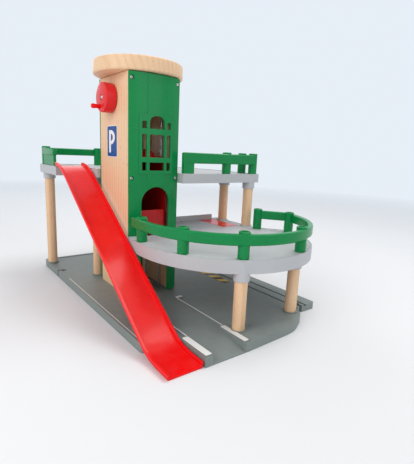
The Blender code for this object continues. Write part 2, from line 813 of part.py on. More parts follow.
def pulley_wheel(name, height, bore):
    """A grooved pulley for the lift cord, turning about X."""
    half = PULLEY_WIDTH / 2
    floor = PULLEY_PITCH - CORD_RADIUS - TOUCH
    rim = PULLEY_PITCH + PULLEY_FLANGE
    groove = CORD_RADIUS + TOUCH
    profile = [
        (bore, half),
        (rim, half),
        (rim, half - 0.0004),
        (floor, groove),
        (floor, -groove),
        (rim, 0.0004 - half),
        (rim, -half),
        (bore, -half),
        (bore, half),
    ]
    return turned(name, profile, (PULLEY_X, CRANK_Y, height), (1, 0, 0), WHITE, 24)


def idler():
    """The lower pulley and the headed pin that it turns on."""
    wheel = pulley_wheel("idler_pulley", IDLER_HEIGHT, IDLER_PIN + RUNNING)
    inside = PULLEY_X + PULLEY_WIDTH / 2 + TOUCH
    reach = inside + TOWER_HALF - TOUCH
    profile = [
        (0.0, reach + IDLER_HEAD_THICK),
        (IDLER_HEAD, reach + IDLER_HEAD_THICK),
        (IDLER_HEAD, reach),
        (IDLER_PIN, reach),
        (IDLER_PIN, 0.0),
        (0.0, 0.0),
    ]
    turned("idler_pin", profile, (TOUCH - TOWER_HALF, CRANK_Y, IDLER_HEIGHT), (1, 0, 0), STEEL, 24)
    pivot("idler_turn", (PULLEY_X, CRANK_Y, IDLER_HEIGHT), [wheel])


def lift_cord():
    """The endless cord round both pulleys."""
    top = ellipse_arc((CRANK_Y, CRANK_HEIGHT), PULLEY_PITCH, PULLEY_PITCH, 0, 180, 16)
    bottom = ellipse_arc((CRANK_Y, IDLER_HEIGHT), PULLEY_PITCH, PULLEY_PITCH, 180, 360, 16)
    route = top + bottom
    curve = bpy.data.curves.new("lift_cord", "CURVE")
    curve.dimensions = "3D"
    curve.bevel_depth = CORD_RADIUS
    curve.bevel_resolution = 1
    spline = curve.splines.new("POLY")
    spline.points.add(len(route) - 1)
    for point, (y, z) in zip(spline.points, route):
        point.co = (PULLEY_X, y, z, 1.0)
    spline.use_cyclic_u = True
    place("lift_cord", welded(curve, Matrix.Identity(4)), CORD)


def lift_cab():
    """The cab, with its roof, folding front gate, pin and cord clamp, all rising on two guide rods."""
    half = CAB_DEPTH / 2
    low = MID_TOP - CAB_FLOOR
    high = MID_TOP + CAB_HEIGHT
    cab = box("lift_cab", (-CAB_HALF, CAB_HALF), (-half, half), (low, high), RED)
    inside = CAB_HALF - CAB_WALL
    room = box("room", (-inside, inside), (-half - 0.01, half - CAB_WALL), (MID_TOP, high + 0.01))
    exit_corners = rectangle((-CAB_EXIT_HALF, CAB_EXIT_HALF), (MID_TOP, MID_TOP + CAB_EXIT_HEIGHT))
    exit_box = rounded(exit_corners, [0, 0, 0.006, 0.006])
    cut(cab, room, prism("cab_exit", [exit_box], half - 0.01, half + 0.01, axis="Y"))
    pivot_y = -half - GATE_PIVOT_REACH
    pivot_z = MID_TOP + GATE_PIVOT_RISE
    for side in (-1, 1):
        ear = [
            (-half + 0.001, pivot_z - GATE_BARREL),
            (-half + 0.001, pivot_z + GATE_BARREL * 2),
            *ellipse_arc((pivot_y, pivot_z), GATE_BARREL, GATE_BARREL, 90, 270, 8),
        ]
        sides = sorted((side * (CAB_HALF - TOUCH), side * (CAB_HALF - 2 * CAB_WALL)))
        fuse(cab, prism("ear", [ear], *sides, axis="X"))
        lug_sides = (CAB_HALF - 0.0005, rod_x() + ROD_RADIUS + SLIDING + 0.0006)
        y = side * ROD_Y
        deep = ROD_RADIUS + SLIDING + 0.0015
        for z in (MID_TOP + 0.004, high - 0.004 - LUG_TALL):
            fuse(cab, box("lug", lug_sides, (y - deep, y + deep), (z, z + LUG_TALL)))
    across = CAB_HALF + 0.01
    cut(cab, rod("pin_hole", GATE_PIN + TOUCH, (-across, pivot_y, pivot_z), (across, pivot_y, pivot_z)))
    for y in (-ROD_Y, ROD_Y):
        hole = ROD_RADIUS + TOUCH
        cut(cab, rod("rod_hole", hole, (rod_x(), y, low - 0.01), (rod_x(), y, high + 0.01)))
    roof = cab_roof(high + TOUCH, half)
    gate = cab_gate(pivot_y, pivot_z)
    pin_half = CAB_HALF - 2 * TOUCH
    pin = rod("gate_pin", GATE_PIN, (-pin_half, pivot_y, pivot_z), (pin_half, pivot_y, pivot_z), STEEL, 12)
    clamp = cord_clamp()
    carrier = pivot("cab_lift", (0, 0, MID_TOP), [cab, roof, pin, clamp])
    hinge = pivot("gate_turn", (0, pivot_y, pivot_z), [gate])
    hinge.parent = carrier
    hinge.matrix_parent_inverse = carrier.matrix_world.inverted()


def cab_roof(low, half):
    """The cab's flat roof with a round lamp housing near its front."""
    width = CAB_HALF
    roof = box("cab_roof", (-width, width), (-half, half), (low, low + CAB_ROOF), RED)
    soften(roof, 0.0008, 1)
    steps = [math.radians(90 * i / 6) for i in range(7)]
    dome = [(CAB_BUMP_RADIUS * math.sin(a), CAB_BUMP_HEIGHT * math.cos(a)) for a in steps]
    dome[0] = (0.0, CAB_BUMP_HEIGHT)
    base = (0, CAB_BUMP_Y, low + CAB_ROOF)
    foot = -CAB_ROOF / 2
    bump = turned("bump", [*dome, (CAB_BUMP_RADIUS, foot), (0.0, foot)], base, (0, 0, 1), None, 20)
    return fuse(roof, bump)


def cab_gate(pivot_y, pivot_z):
    """The flap that closes the cab's front and folds inwards onto its floor."""
    half = CAB_HALF - 2 * CAB_WALL - GATE_SIDE_GAP
    front = pivot_y - GATE_THICK / 2
    back = pivot_y + GATE_THICK / 2
    corners = rectangle((-half, half), (pivot_z, MID_TOP + GATE_HEIGHT))
    gate = prism("cab_gate", [rounded(corners, [0, 0, 0.004, 0.004])], front, back, RED, "Y")
    fuse(gate, rod("barrel", GATE_BARREL, (-half, pivot_y, pivot_z), (half, pivot_y, pivot_z)))
    spacing = (GATE_HEIGHT - 0.012) / GATE_RIBS
    for i in range(GATE_RIBS):
        z = MID_TOP + 0.009 + spacing * i
        rib_y = (front - GATE_RIB_PROUD, front + 0.0005)
        fuse(gate, box("rib", (0.003 - half, half - 0.003), rib_y, (z, z + spacing * 0.45)))
    start, end = (-TOWER_HALF, pivot_y, pivot_z), (TOWER_HALF, pivot_y, pivot_z)
    return cut(gate, rod("pin_hole", GATE_PIN + RUNNING, start, end, sides=12))


def cord_clamp():
    """The block on the cab's side that grips the cord's front run."""
    middle = MID_TOP + CLAMP_HEIGHT
    outer = PULLEY_X - CORD_RADIUS - 0.0012
    y = (CORD_FRONT_Y - CLAMP_WIDTH / 2, CORD_FRONT_Y + CLAMP_WIDTH / 2)
    z = (middle - CLAMP_TALL / 2, middle + CLAMP_TALL / 2)
    clamp = box("cord_clamp", (outer, -CAB_HALF - TOUCH), y, z, WHITE)
    grip = (PULLEY_X, CORD_FRONT_Y, z[0] - 0.01), (PULLEY_X, CORD_FRONT_Y, z[1] + 0.01)
    return cut(clamp, rod("grip", CORD_RADIUS + TOUCH, *grip, sides=12))


def guide_rods():
    """Two steel rods between the base and the top plate."""
    high = BOARD_TOP - TOP_PLATE_DROP - TOUCH
    for name, y in (("guide_rod_front", -ROD_Y), ("guide_rod_rear", ROD_Y)):
        rod(name, ROD_RADIUS, (rod_x(), y, BASE_TOP - BOARD_POCKET + TOUCH), (rod_x(), y, high), STEEL)


def deck_body(name, outline, top, depth, solids, look):
    """A moulded deck: a plate with a skirt round it, a low rim on top and a grid of ribs below."""
    low = top - depth
    deck = prism(name, [outline], low, top + RIM_HEIGHT, look)
    cut(deck, prism("rim", [shifted(outline, RIM_WIDTH)], top, top + 0.01))
    fuse(deck, *solids)
    inner = shifted(outline, SKIRT)
    cut(deck, prism("hollow", [inner], low - 0.01, top - PLATE))
    grid = rib_grid(outline, low + RIB, top - PLATE / 2)
    inside = prism("rib_limit", [shifted(outline, SKIRT / 2)], low, top)
    for rib in grid:
        boolean(rib, "INTERSECT", [inside])
    return fuse(deck, *grid)


def rib_grid(outline, low, high, spacing=RIB_SPACING):
    """Crossing ribs that cover an outline."""
    xs = [point[0] for point in outline]
    ys = [point[1] for point in outline]
    ribs = []
    for values, others, along in ((xs, ys, "Y"), (ys, xs, "X")):
        start, end = min(values), max(values)
        count = round((end - start) / spacing)
        for i in range(1, count):
            middle = start + (end - start) * i / count
            across = (middle - RIB / 2, middle + RIB / 2)
            wide = (min(others) - OVERRUN, max(others) + OVERRUN)
            lift = 0.0002 if along == "X" else 0.0
            x, y = (across, wide) if along == "Y" else (wide, across)
            ribs.append(box("rib", x, y, (low + lift, high + lift)))
    return ribs


def collar(place_xy, low, high):
    """The outside of a round cup that a pillar fits."""
    return rod("collar", COLLAR_RADIUS, (*place_xy, low), (*place_xy, high), sides=16)


def cup(place_xy, low, high):
    """The hole that a pillar fits."""
    return rod("cup", PILLAR_HOLE, (*place_xy, low), (*place_xy, high), sides=16)


def mid_outline():
    """The middle deck's outline: a half ellipse, a strip beside the tower and the front shell's bay."""
    front = ellipse_arc(MID_CENTRE, MID_HALF_WIDTH, MID_REACH, 180, MID_ARC_END, MID_ARC_STEPS)
    side = [(MID_RIGHT, MID_WAIST), (MID_RIGHT, MID_BACK), (TOWER_HALF + TOUCH, MID_BACK)]
    bay = shell_arc(TOUCH, TOWER_HALF + TOUCH, -1)[::-1]
    return [*front, *side, *bay, (MID_CENTRE[0] - MID_HALF_WIDTH, bay[-1][1])]


def post_places():
    """Where the middle rail's posts stand, from the tower round to the waist."""
    inset = POST_INSET
    width = MID_HALF_WIDTH - inset
    reach = MID_REACH - inset
    first = (MID_CENTRE[0] - width, MID_FIRST_POST_Y)
    curve = [ellipse_arc(MID_CENTRE, width, reach, a, a, 1)[0] for a in MID_POST_ANGLES]
    return [first, *curve, (MID_RIGHT - MID_LAST_POST[0], MID_WAIST - MID_LAST_POST[1])]


def peg_holes(places, top):
    """Holes in a deck for the pegs below a rail's posts."""
    hole = POST_PEG + TOUCH
    return [rod("peg_hole", hole, (*xy, top - 2 * PLATE), (*xy, top + 0.01), sides=12) for xy in places]


def mid_deck():
    """The middle deck, with its kerb, hatch opening, hinge lugs, tab slot and pillar cups."""
    outline = mid_outline()
    low = MID_TOP - MID_DEPTH
    cup_low = low - COLLAR_DEPTH
    cup_top = MID_TOP - PLATE
    stands = (REAR_PILLAR_A, REAR_PILLAR_B)
    props = (FRONT_PILLAR, RIGHT_PILLAR)
    kerb_x = (TOWER_HALF + 2 * TOUCH, KERB_END)
    kerb_y = (MID_BACK - KERB_THICK, MID_BACK - 0.0001)
    kerb = box("kerb", kerb_x, kerb_y, (MID_TOP - 0.001, MID_TOP + KERB_HEIGHT))
    soften(kerb, 0.001)
    bosses = [collar(xy, cup_low, MID_TOP + SOCKET_RIM) for xy in stands]
    deck = deck_body("mid_deck", outline, MID_TOP, MID_DEPTH, [kerb], PALE_GREY)
    fuse(deck, *bosses, *[collar(xy, cup_low, cup_top + PLATE / 2) for xy in props])
    right = HATCH_LEFT + HATCH_WIDTH
    back = HATCH_FRONT + HATCH_LENGTH
    through = (low - OVERRUN, MID_TOP + OVERRUN)
    cut(deck, box("hatch_opening", (HATCH_LEFT, right), (HATCH_FRONT, back), through))
    cut(deck, *[cup(xy, cup_low - 0.01, cup_top) for xy in (*stands, *props)])
    cut(deck, *[cup(xy, MID_TOP - PLATE / 3, MID_TOP + 0.01) for xy in stands])
    slot = (TAB_Y - TAB_ARM_WIDTH / 2 - 0.003, TAB_Y + TAB_ARM_WIDTH / 2 + 0.003)
    cut(deck, box("arm_room", (right - 0.001, MID_RIGHT + 0.01), slot, (low - 0.01, cup_top - 0.0005)))
    y, z = hatch_pivot()
    for x in ((HATCH_LEFT - HATCH_LUG, HATCH_LEFT), (right, right + HATCH_LUG)):
        lug_y = (y - HATCH_LUG_HALF, y + HATCH_LUG_HALF)
        fuse(deck, box("lug", x, lug_y, (z - HATCH_LUG_HALF, cup_top + PLATE / 2)))
    hole = HATCH_PIN + TOUCH
    start, end = (HATCH_LEFT - 2 * HATCH_LUG, y, z), (right + HATCH_LUG + 0.001, y, z)
    cut(deck, rod("pin_hole", hole, start, end, sides=12))
    last = post_places()[-1]
    post_room = rod("post_room", POST_RADIUS + TOUCH, (*last, MID_TOP), (*last, MID_TOP + OVERRUN))
    cut(deck, post_room, *peg_holes(post_places(), MID_TOP))


def hatch_pivot():
    """The drop hatch's hinge axis, below the deck at its back edge."""
    return HATCH_FRONT + HATCH_LENGTH - HATCH_PIVOT_INSET, MID_TOP - HATCH_PIVOT_DROP


def drop_hatch():
    """The hatch, its arm, press tab, hinge pin and return spring."""
    y, z = hatch_pivot()
    left = HATCH_LEFT + HATCH_GAP
    right = HATCH_LEFT + HATCH_WIDTH - HATCH_GAP
    front = HATCH_FRONT + HATCH_GAP
    back = HATCH_FRONT + HATCH_LENGTH - HATCH_GAP
    under = MID_TOP - HATCH_THICK
    hatch = box("drop_hatch", (left, right), (front, back), (under, MID_TOP), RED)
    barrel_start = HATCH_LEFT + HATCH_GAP + SPRING_ROOM
    fuse(hatch, box("web", (barrel_start, right - 0.0002), (y - 0.0022, y + 0.0022), (z, under + 0.0005)))
    start, end = (barrel_start - 0.0001, y, z), (right - 0.0001, y, z)
    fuse(hatch, rod("barrel", HATCH_BARREL, start, end, sides=20))
    cut(hatch, rod("pin_hole", HATCH_PIN + RUNNING, (left - 0.01, y, z), (right + 0.01, y, z), sides=12))
    arm_y = (TAB_Y - TAB_ARM_WIDTH / 2, TAB_Y + TAB_ARM_WIDTH / 2)
    arm_high = MID_TOP - PLATE - 0.002
    arm_z = (arm_high - TAB_ARM_THICK, arm_high)
    fuse(hatch, box("arm_root", (right - 0.008, right - 0.0003), arm_y, (arm_z[0], under + 0.0005)))
    tab_low = MID_TOP - MID_DEPTH + 0.002
    tab_x = (MID_RIGHT + 0.001, MID_RIGHT + TAB_REACH)
    arm_x = (right - 0.004, tab_x[0] + 0.002)
    fuse(hatch, box("arm", arm_x, (arm_y[0] + 0.0005, arm_y[1] - 0.0005), (arm_z[0] + 0.0002, arm_high)))
    tab_half = TAB_WIDTH / 2
    tab_outline = rounded(rectangle(tab_x, (TAB_Y - tab_half, TAB_Y + tab_half)), 0.003)
    tab = prism("tab", [tab_outline], tab_low, tab_low + TAB_TALL)
    fuse(hatch, soften(tab, 0.001, 2))
    pin_x = (HATCH_LEFT - HATCH_LUG + 0.001, HATCH_LEFT + HATCH_WIDTH + HATCH_LUG - 0.001)
    rod("hatch_pin", HATCH_PIN, (pin_x[0], y, z), (pin_x[1], y, z), STEEL, 12)
    hatch_spring(HATCH_LEFT + TOUCH + SPRING_WIRE, barrel_start - 2 * TOUCH - SPRING_WIRE, y, z)
    pivot("hatch_turn", (HATCH_LEFT, y, z), [hatch])


def hatch_spring(start, end, y, z):
    """The coil round the hatch's pin, which brings the hatch back up."""
    count = 10 * SPRING_TURNS
    curve = bpy.data.curves.new("hatch_spring", "CURVE")
    curve.dimensions = "3D"
    curve.bevel_depth = SPRING_WIRE
    curve.bevel_resolution = 1
    curve.use_fill_caps = True
    spline = curve.splines.new("POLY")
    spline.points.add(count)
    for i, point in enumerate(spline.points):
        turn = 2 * math.pi * SPRING_TURNS * i / count
        x = start + (end - start) * i / count
        point.co = (x, y + SPRING_COIL * math.cos(turn), z + SPRING_COIL * math.sin(turn), 1.0)
    place("hatch_spring", welded(curve, Matrix.Identity(4)), STEEL)


def rail(name, top, line, posts, heights, panels=()):
    """A guard rail: a bar along a line, on round posts that peg into the deck."""
    low, high = top + heights[0], top + heights[1]
    bar = prism(name, [band(line, BAR_THICK / 2, BAR_THICK / 2)], low, high, GREEN)
    soften(bar, BAR_ROUNDING, 1)
    fuse(bar, *panels)
    for xy in posts:
        cap = high + POST_CAP
        profile = [
            (0.0, cap - POST_DISH_DEPTH),
            (POST_DISH, cap - POST_DISH_DEPTH),
            (POST_DISH, cap),
            (POST_RADIUS - 0.001, cap),
            (POST_RADIUS, cap - 0.001),
            (POST_RADIUS, top + TOUCH),
            (POST_PEG, top + TOUCH),
            (POST_PEG, top - PLATE),
            (0.0, top - PLATE),
        ]
        fuse(bar, turned("post", profile, (*xy, 0), (0, 0, 1), None, 12))
    return bar


def mid_rail():
    """The rail round the middle deck's curved front."""
    inset = BAR_INSET + BAR_THICK / 2
    width, reach = MID_HALF_WIDTH - inset, MID_REACH - inset
    curve = ellipse_arc(MID_CENTRE, width, reach, 180, MID_RAIL_END, MID_ARC_STEPS)
    places = post_places()
    line = [(curve[0][0], MID_RAIL_START), *curve, places[-1]]
    rail("mid_rail", MID_TOP, line, places, MID_BAR)


def upper_outline():
    """The upper deck's outline, wrapping the tower's right side and back."""
    curve_middle = (UPPER_BACK_STRAIGHT, UPPER_RIGHT_STRAIGHT)
    half_width = UPPER_RIGHT - UPPER_BACK_STRAIGHT
    curve = ellipse_arc(
        curve_middle, half_width, UPPER_BACK - UPPER_RIGHT_STRAIGHT, 0, 90, UPPER_CURVE_STEPS
    )
    bay = shell_arc(TOUCH, TOWER_HALF + TOUCH, 1)
    inner = TOWER_HALF + TOUCH
    corners = [(inner, UPPER_FRONT), (UPPER_RIGHT, UPPER_FRONT), (UPPER_RIGHT, 0.0)]
    front = rounded(corners, [0, UPPER_ROUNDING, 0])
    wing = [(UPPER_LEFT, UPPER_BACK), (UPPER_LEFT, UPPER_WING_FRONT), (UPPER_BAY, UPPER_WING_FRONT)]
    return [*front[:-1], *curve, *wing, (UPPER_BAY, bay[0][1]), *bay]


def right_rail_line():
    """The bar's line along the upper deck's front and round its right corner."""
    inset = BAR_INSET + BAR_THICK / 2
    corner = (UPPER_RIGHT - inset, UPPER_FRONT + inset)
    start = (TOWER_HALF + 0.002, corner[1])
    return rounded([start, corner, (corner[0], RIGHT_RAIL_END)], [0, 0.012, 0])


def right_posts():
    """The upper right rail's posts."""
    front = UPPER_FRONT + POST_INSET
    side = UPPER_RIGHT - POST_INSET
    return [(RIGHT_POST_X, front), (side, front), (side, RIGHT_RAIL_END)]


def left_rail_line():
    """The bar's line along the upper deck's left end and back."""
    inset = BAR_INSET + BAR_THICK / 2
    corner = (UPPER_LEFT + inset, UPPER_BACK - inset)
    return rounded([(LEFT_RAIL_END, corner[1]), corner, (corner[0], LEFT_PANEL_Y)], [0, 0.010, 0])


def left_posts():
    """The upper left rail's posts."""
    back = UPPER_BACK - POST_INSET
    return [(LEFT_RAIL_END, back), (UPPER_LEFT + POST_INSET, back)]


def upper_deck():
    """The upper deck, with its pillar cups, peg holes and the slot that the ramp hooks into."""
    low = UPPER_TOP - UPPER_DEPTH
    stands = (REAR_PILLAR_A, REAR_PILLAR_B, TALL_OUTER, TALL_INNER)
    deck = deck_body("upper_deck", upper_outline(), UPPER_TOP, UPPER_DEPTH, [], PALE_GREY)
    fuse(deck, *[collar(xy, low - COLLAR_DEPTH, UPPER_TOP - PLATE / 2) for xy in stands])
    cut(deck, *[cup(xy, low - COLLAR_DEPTH - 0.01, UPPER_TOP - PLATE) for xy in stands])
    x, y = ramp_tang()
    slot_x = (x[0] - SLIDING, x[1] + SLIDING)
    slot_y = (y[0] - SLIDING, y[1] + SLIDING)
    cut(deck, box("tang_slot", slot_x, slot_y, (low - 0.01, UPPER_TOP + 0.01)))
    seat_x = (RAMP_LEFT - 2 * RAMP_LIP, RAMP_LEFT + RAMP_WIDTH + 2 * RAMP_LIP)
    seat_y = (UPPER_WING_FRONT - 0.01, UPPER_WING_FRONT + RAMP_LAP + 0.001)
    cut(deck, box("ramp_seat", seat_x, seat_y, (UPPER_TOP, UPPER_TOP + 0.01)))
    cut(deck, *peg_holes([*right_posts(), *left_posts()], UPPER_TOP))


def upper_rails():
    """The two rails of the upper deck, each with a solid panel at one end."""
    inset = BAR_INSET
    front = (UPPER_FRONT + inset + 0.0005, UPPER_FRONT + inset + BAR_THICK - 0.0005)
    panel_x = (TOWER_HALF + 0.0025, TOWER_HALF + RIGHT_PANEL)
    foot = UPPER_TOP + RIM_HEIGHT + TOUCH
    panel = box("panel", panel_x, front, (foot, UPPER_TOP + UPPER_BAR[1] - 0.001))
    rail("upper_rail_right", UPPER_TOP, right_rail_line(), right_posts(), UPPER_BAR, [panel])
    side = (UPPER_LEFT + inset + BAR_ROUNDING, UPPER_LEFT + inset + BAR_THICK - BAR_ROUNDING)
    end_y = (LEFT_PANEL_Y + 0.001, UPPER_BACK - 0.018)
    end_panel = box("panel", side, end_y, (foot, UPPER_TOP + LEFT_BAR[1] - 0.006))
    rail("upper_rail_left", UPPER_TOP, left_rail_line(), left_posts(), LEFT_BAR, [end_panel])


def pillar(name, xy, low, high):
    """A round wooden pillar with chamfered ends."""
    r, c = PILLAR_RADIUS, PILLAR_CHAMFER
    length = high - low
    profile = [(0.0, length), (r - c, length), (r, length - c), (r, c), (r - c, 0.0), (0.0, 0.0)]
    turned(name, profile, (*xy, low), (0, 0, 1), BEECH, 16)


def pillars():
    """The pillars between the base and the decks, and those that stand on the middle deck."""
    foot = BASE_TOP - SOCKET_DEPTH + TOUCH
    under_mid = MID_TOP - PLATE - TOUCH
    under_upper = UPPER_TOP - PLATE - TOUCH
    on_mid = MID_TOP - PLATE / 3 + TOUCH
    pillar("lower_pillar_front", FRONT_PILLAR, foot, under_mid)
    pillar("lower_pillar_right", RIGHT_PILLAR, foot, under_mid)
    pillar("lower_pillar_rear_a", REAR_PILLAR_A, foot, under_mid)
    pillar("lower_pillar_rear_b", REAR_PILLAR_B, foot, under_mid)
    pillar("upper_pillar_a", REAR_PILLAR_A, on_mid, under_upper)
    pillar("upper_pillar_b", REAR_PILLAR_B, on_mid, under_upper)
    pillar("tall_pillar_outer", TALL_OUTER, foot, under_upper)
    pillar("tall_pillar_inner", TALL_INNER, foot, under_upper)


def ramp_tang():
    """The span in X and Y of the tang that hooks the ramp into the upper deck."""
    middle = RAMP_LEFT + RAMP_WIDTH / 2
    start = UPPER_WING_FRONT + SKIRT + 0.0012
    return (middle - RAMP_TANG_HALF, middle + RAMP_TANG_HALF), (start, start + RAMP_FLOOR)


def ramp_floor():
    """The line of the ramp's floor, as (y, z), from the upper deck down to the ground."""
    top = UPPER_TOP + TOUCH + RAMP_FLOOR
    brow = [(RAMP_LAP, 0.0), (-0.004, 0.0), (-0.012, 0.0012), (-0.021, 0.0041)]
    brow += [(-0.032, 0.0094), (-0.046, 0.0174)]
    toe = [(-0.002, 0.0035), (-0.012, -0.0029), (-0.024, -0.0073), (-0.042, -0.0098)]
    upper = [(UPPER_WING_FRONT + y, top - drop) for y, drop in brow]
    lower = [(BASE_SHOULDER + y, BASE_TOP + rise) for y, rise in toe]
    return [*upper, *lower, (RAMP_FOOT_Y, RAMP_FLOOR + TOUCH)]


def sweep(name, path, section, look):
    """Run a closed cross-section, as (sideways, up), along a line of points."""
    outline = bpy.data.curves.new("section", "CURVE")
    outline.dimensions = "2D"
    outline.fill_mode = "NONE"
    ring = outline.splines.new("POLY")
    ring.points.add(len(section) - 1)
    for point, (sideways, up) in zip(ring.points, section):
        point.co = (sideways, up, 0.0, 1.0)
    ring.use_cyclic_u = True
    holder = bpy.data.objects.new("section", outline)
    CUTTERS.objects.link(holder)
    holder.hide_render = True
    curve = bpy.data.curves.new(name, "CURVE")
    curve.dimensions = "3D"
    curve.twist_mode = "Z_UP"
    curve.bevel_mode = "OBJECT"
    curve.bevel_object = holder
    curve.use_fill_caps = True
    spline = curve.splines.new("POLY")
    spline.points.add(len(path) - 1)
    for point, place_xyz in zip(spline.points, path):
        point.co = (*place_xyz, 1.0)
    return place(name, welded(curve, Matrix.Identity(4)), look)


def ramp_section():
    """The ramp's cross-section: a floor with filleted side walls that end in turned-out lips."""
    half = RAMP_WIDTH / 2
    inner = half - RAMP_WALL
    fillet = ellipse_arc((inner - RAMP_FILLET, RAMP_FILLET), RAMP_FILLET, RAMP_FILLET, -90, 0, 4)
    lip_low = RAMP_SIDE - RAMP_LIP
    right = [
        (half - RAMP_FILLET, -RAMP_FLOOR),
        (half, RAMP_FILLET - RAMP_FLOOR),
        (half, lip_low),
        (half + RAMP_LIP, lip_low + RAMP_LIP * 0.3),
        (half + RAMP_LIP, RAMP_SIDE - RAMP_LIP * 0.3),
        (half + RAMP_LIP * 0.6, RAMP_SIDE),
        (inner + RAMP_LIP * 0.3, RAMP_SIDE),
        (inner, RAMP_SIDE - RAMP_LIP * 0.4),
        *fillet[::-1],
    ]
    return [*right, *[(-u, v) for u, v in right[::-1]]]


def ramp():
    """The ramp: a trough with lipped sides that laps onto the upper deck and runs to the ground."""
    middle = RAMP_LEFT + RAMP_WIDTH / 2
    path = [(middle, y, z) for y, z in ramp_floor()]
    trough = sweep("ramp", path, ramp_section(), RED)
    x, y = ramp_tang()
    return fuse(trough, box("tang", x, y, (UPPER_TOP - RAMP_TANG, UPPER_TOP + TOUCH + RAMP_FLOOR / 2)))


def base_outline():
    """The base's outline, with a lane at the front left and the railway's bed at the right."""
    corners = [
        (BASE_LEFT, BASE_SHOULDER, 0.006),
        (LANE_LEFT - LANE_BLOCK, BASE_SHOULDER, 0.0),
        (LANE_LEFT - LANE_BLOCK, BASE_FRONT, 0.0),
        (LANE_RIGHT, BASE_FRONT, 0.004),
        (0.120, -0.281, 0.070),
        (0.164, -0.258, 0.022),
        (0.164, BASE_TRACK_FRONT, 0.0),
        (BASE_RIGHT, BASE_TRACK_FRONT, 0.004),
        (BASE_RIGHT, TRACK_BACK, 0.004),
        (BACK_CORNERS[0][0], TRACK_BACK, 0.0),
        (*BACK_CORNERS[1], 0.012),
        (*BACK_CORNERS[2], 0.030),
        (BACK_CORNERS[3][0], BASE_BACK, 0.020),
        (BASE_LEFT, BASE_BACK, 0.010),
    ]
    return rounded([(x, y) for x, y, _ in corners], [r for _, _, r in corners])


def forecourt_outline():
    """The sunken road behind the tower, inside the base's rear rim."""
    rim = FORECOURT_RIM
    back = [(x - rim * 0.6, y - rim * 0.8) for x, y in BACK_CORNERS[1:3]]
    right = (BACK_CORNERS[1][0] - rim * 0.6, FORECOURT_Y)
    left = BASE_LEFT + rim
    last = BASE_BACK - rim
    corners = [(left, FORECOURT_Y), right, *back, (BACK_CORNERS[3][0] - rim * 0.4, last), (left, last)]
    return rounded(corners, [0.0, 0.0, 0.010, 0.028, 0.018, 0.006])


def keyhole(mouth, inward):
    """The outline of a track connector's socket, from its mouth inwards."""
    along = Vector(inward)
    side = Vector((-along.y, along.x))
    centre = Vector(mouth) + along * SOCKET_INSET
    half = SOCKET_NECK / 2
    start = math.degrees(math.asin(half / SOCKET_BORE))
    ring = ellipse_arc((0.0, 0.0), SOCKET_BORE, SOCKET_BORE, 180 + start, 540 - start, 10)
    local = [(-SOCKET_INSET - 0.01, -half), *ring, (-SOCKET_INSET - 0.01, half)]
    return [tuple(centre + along * u + side * v) for u, v in local]


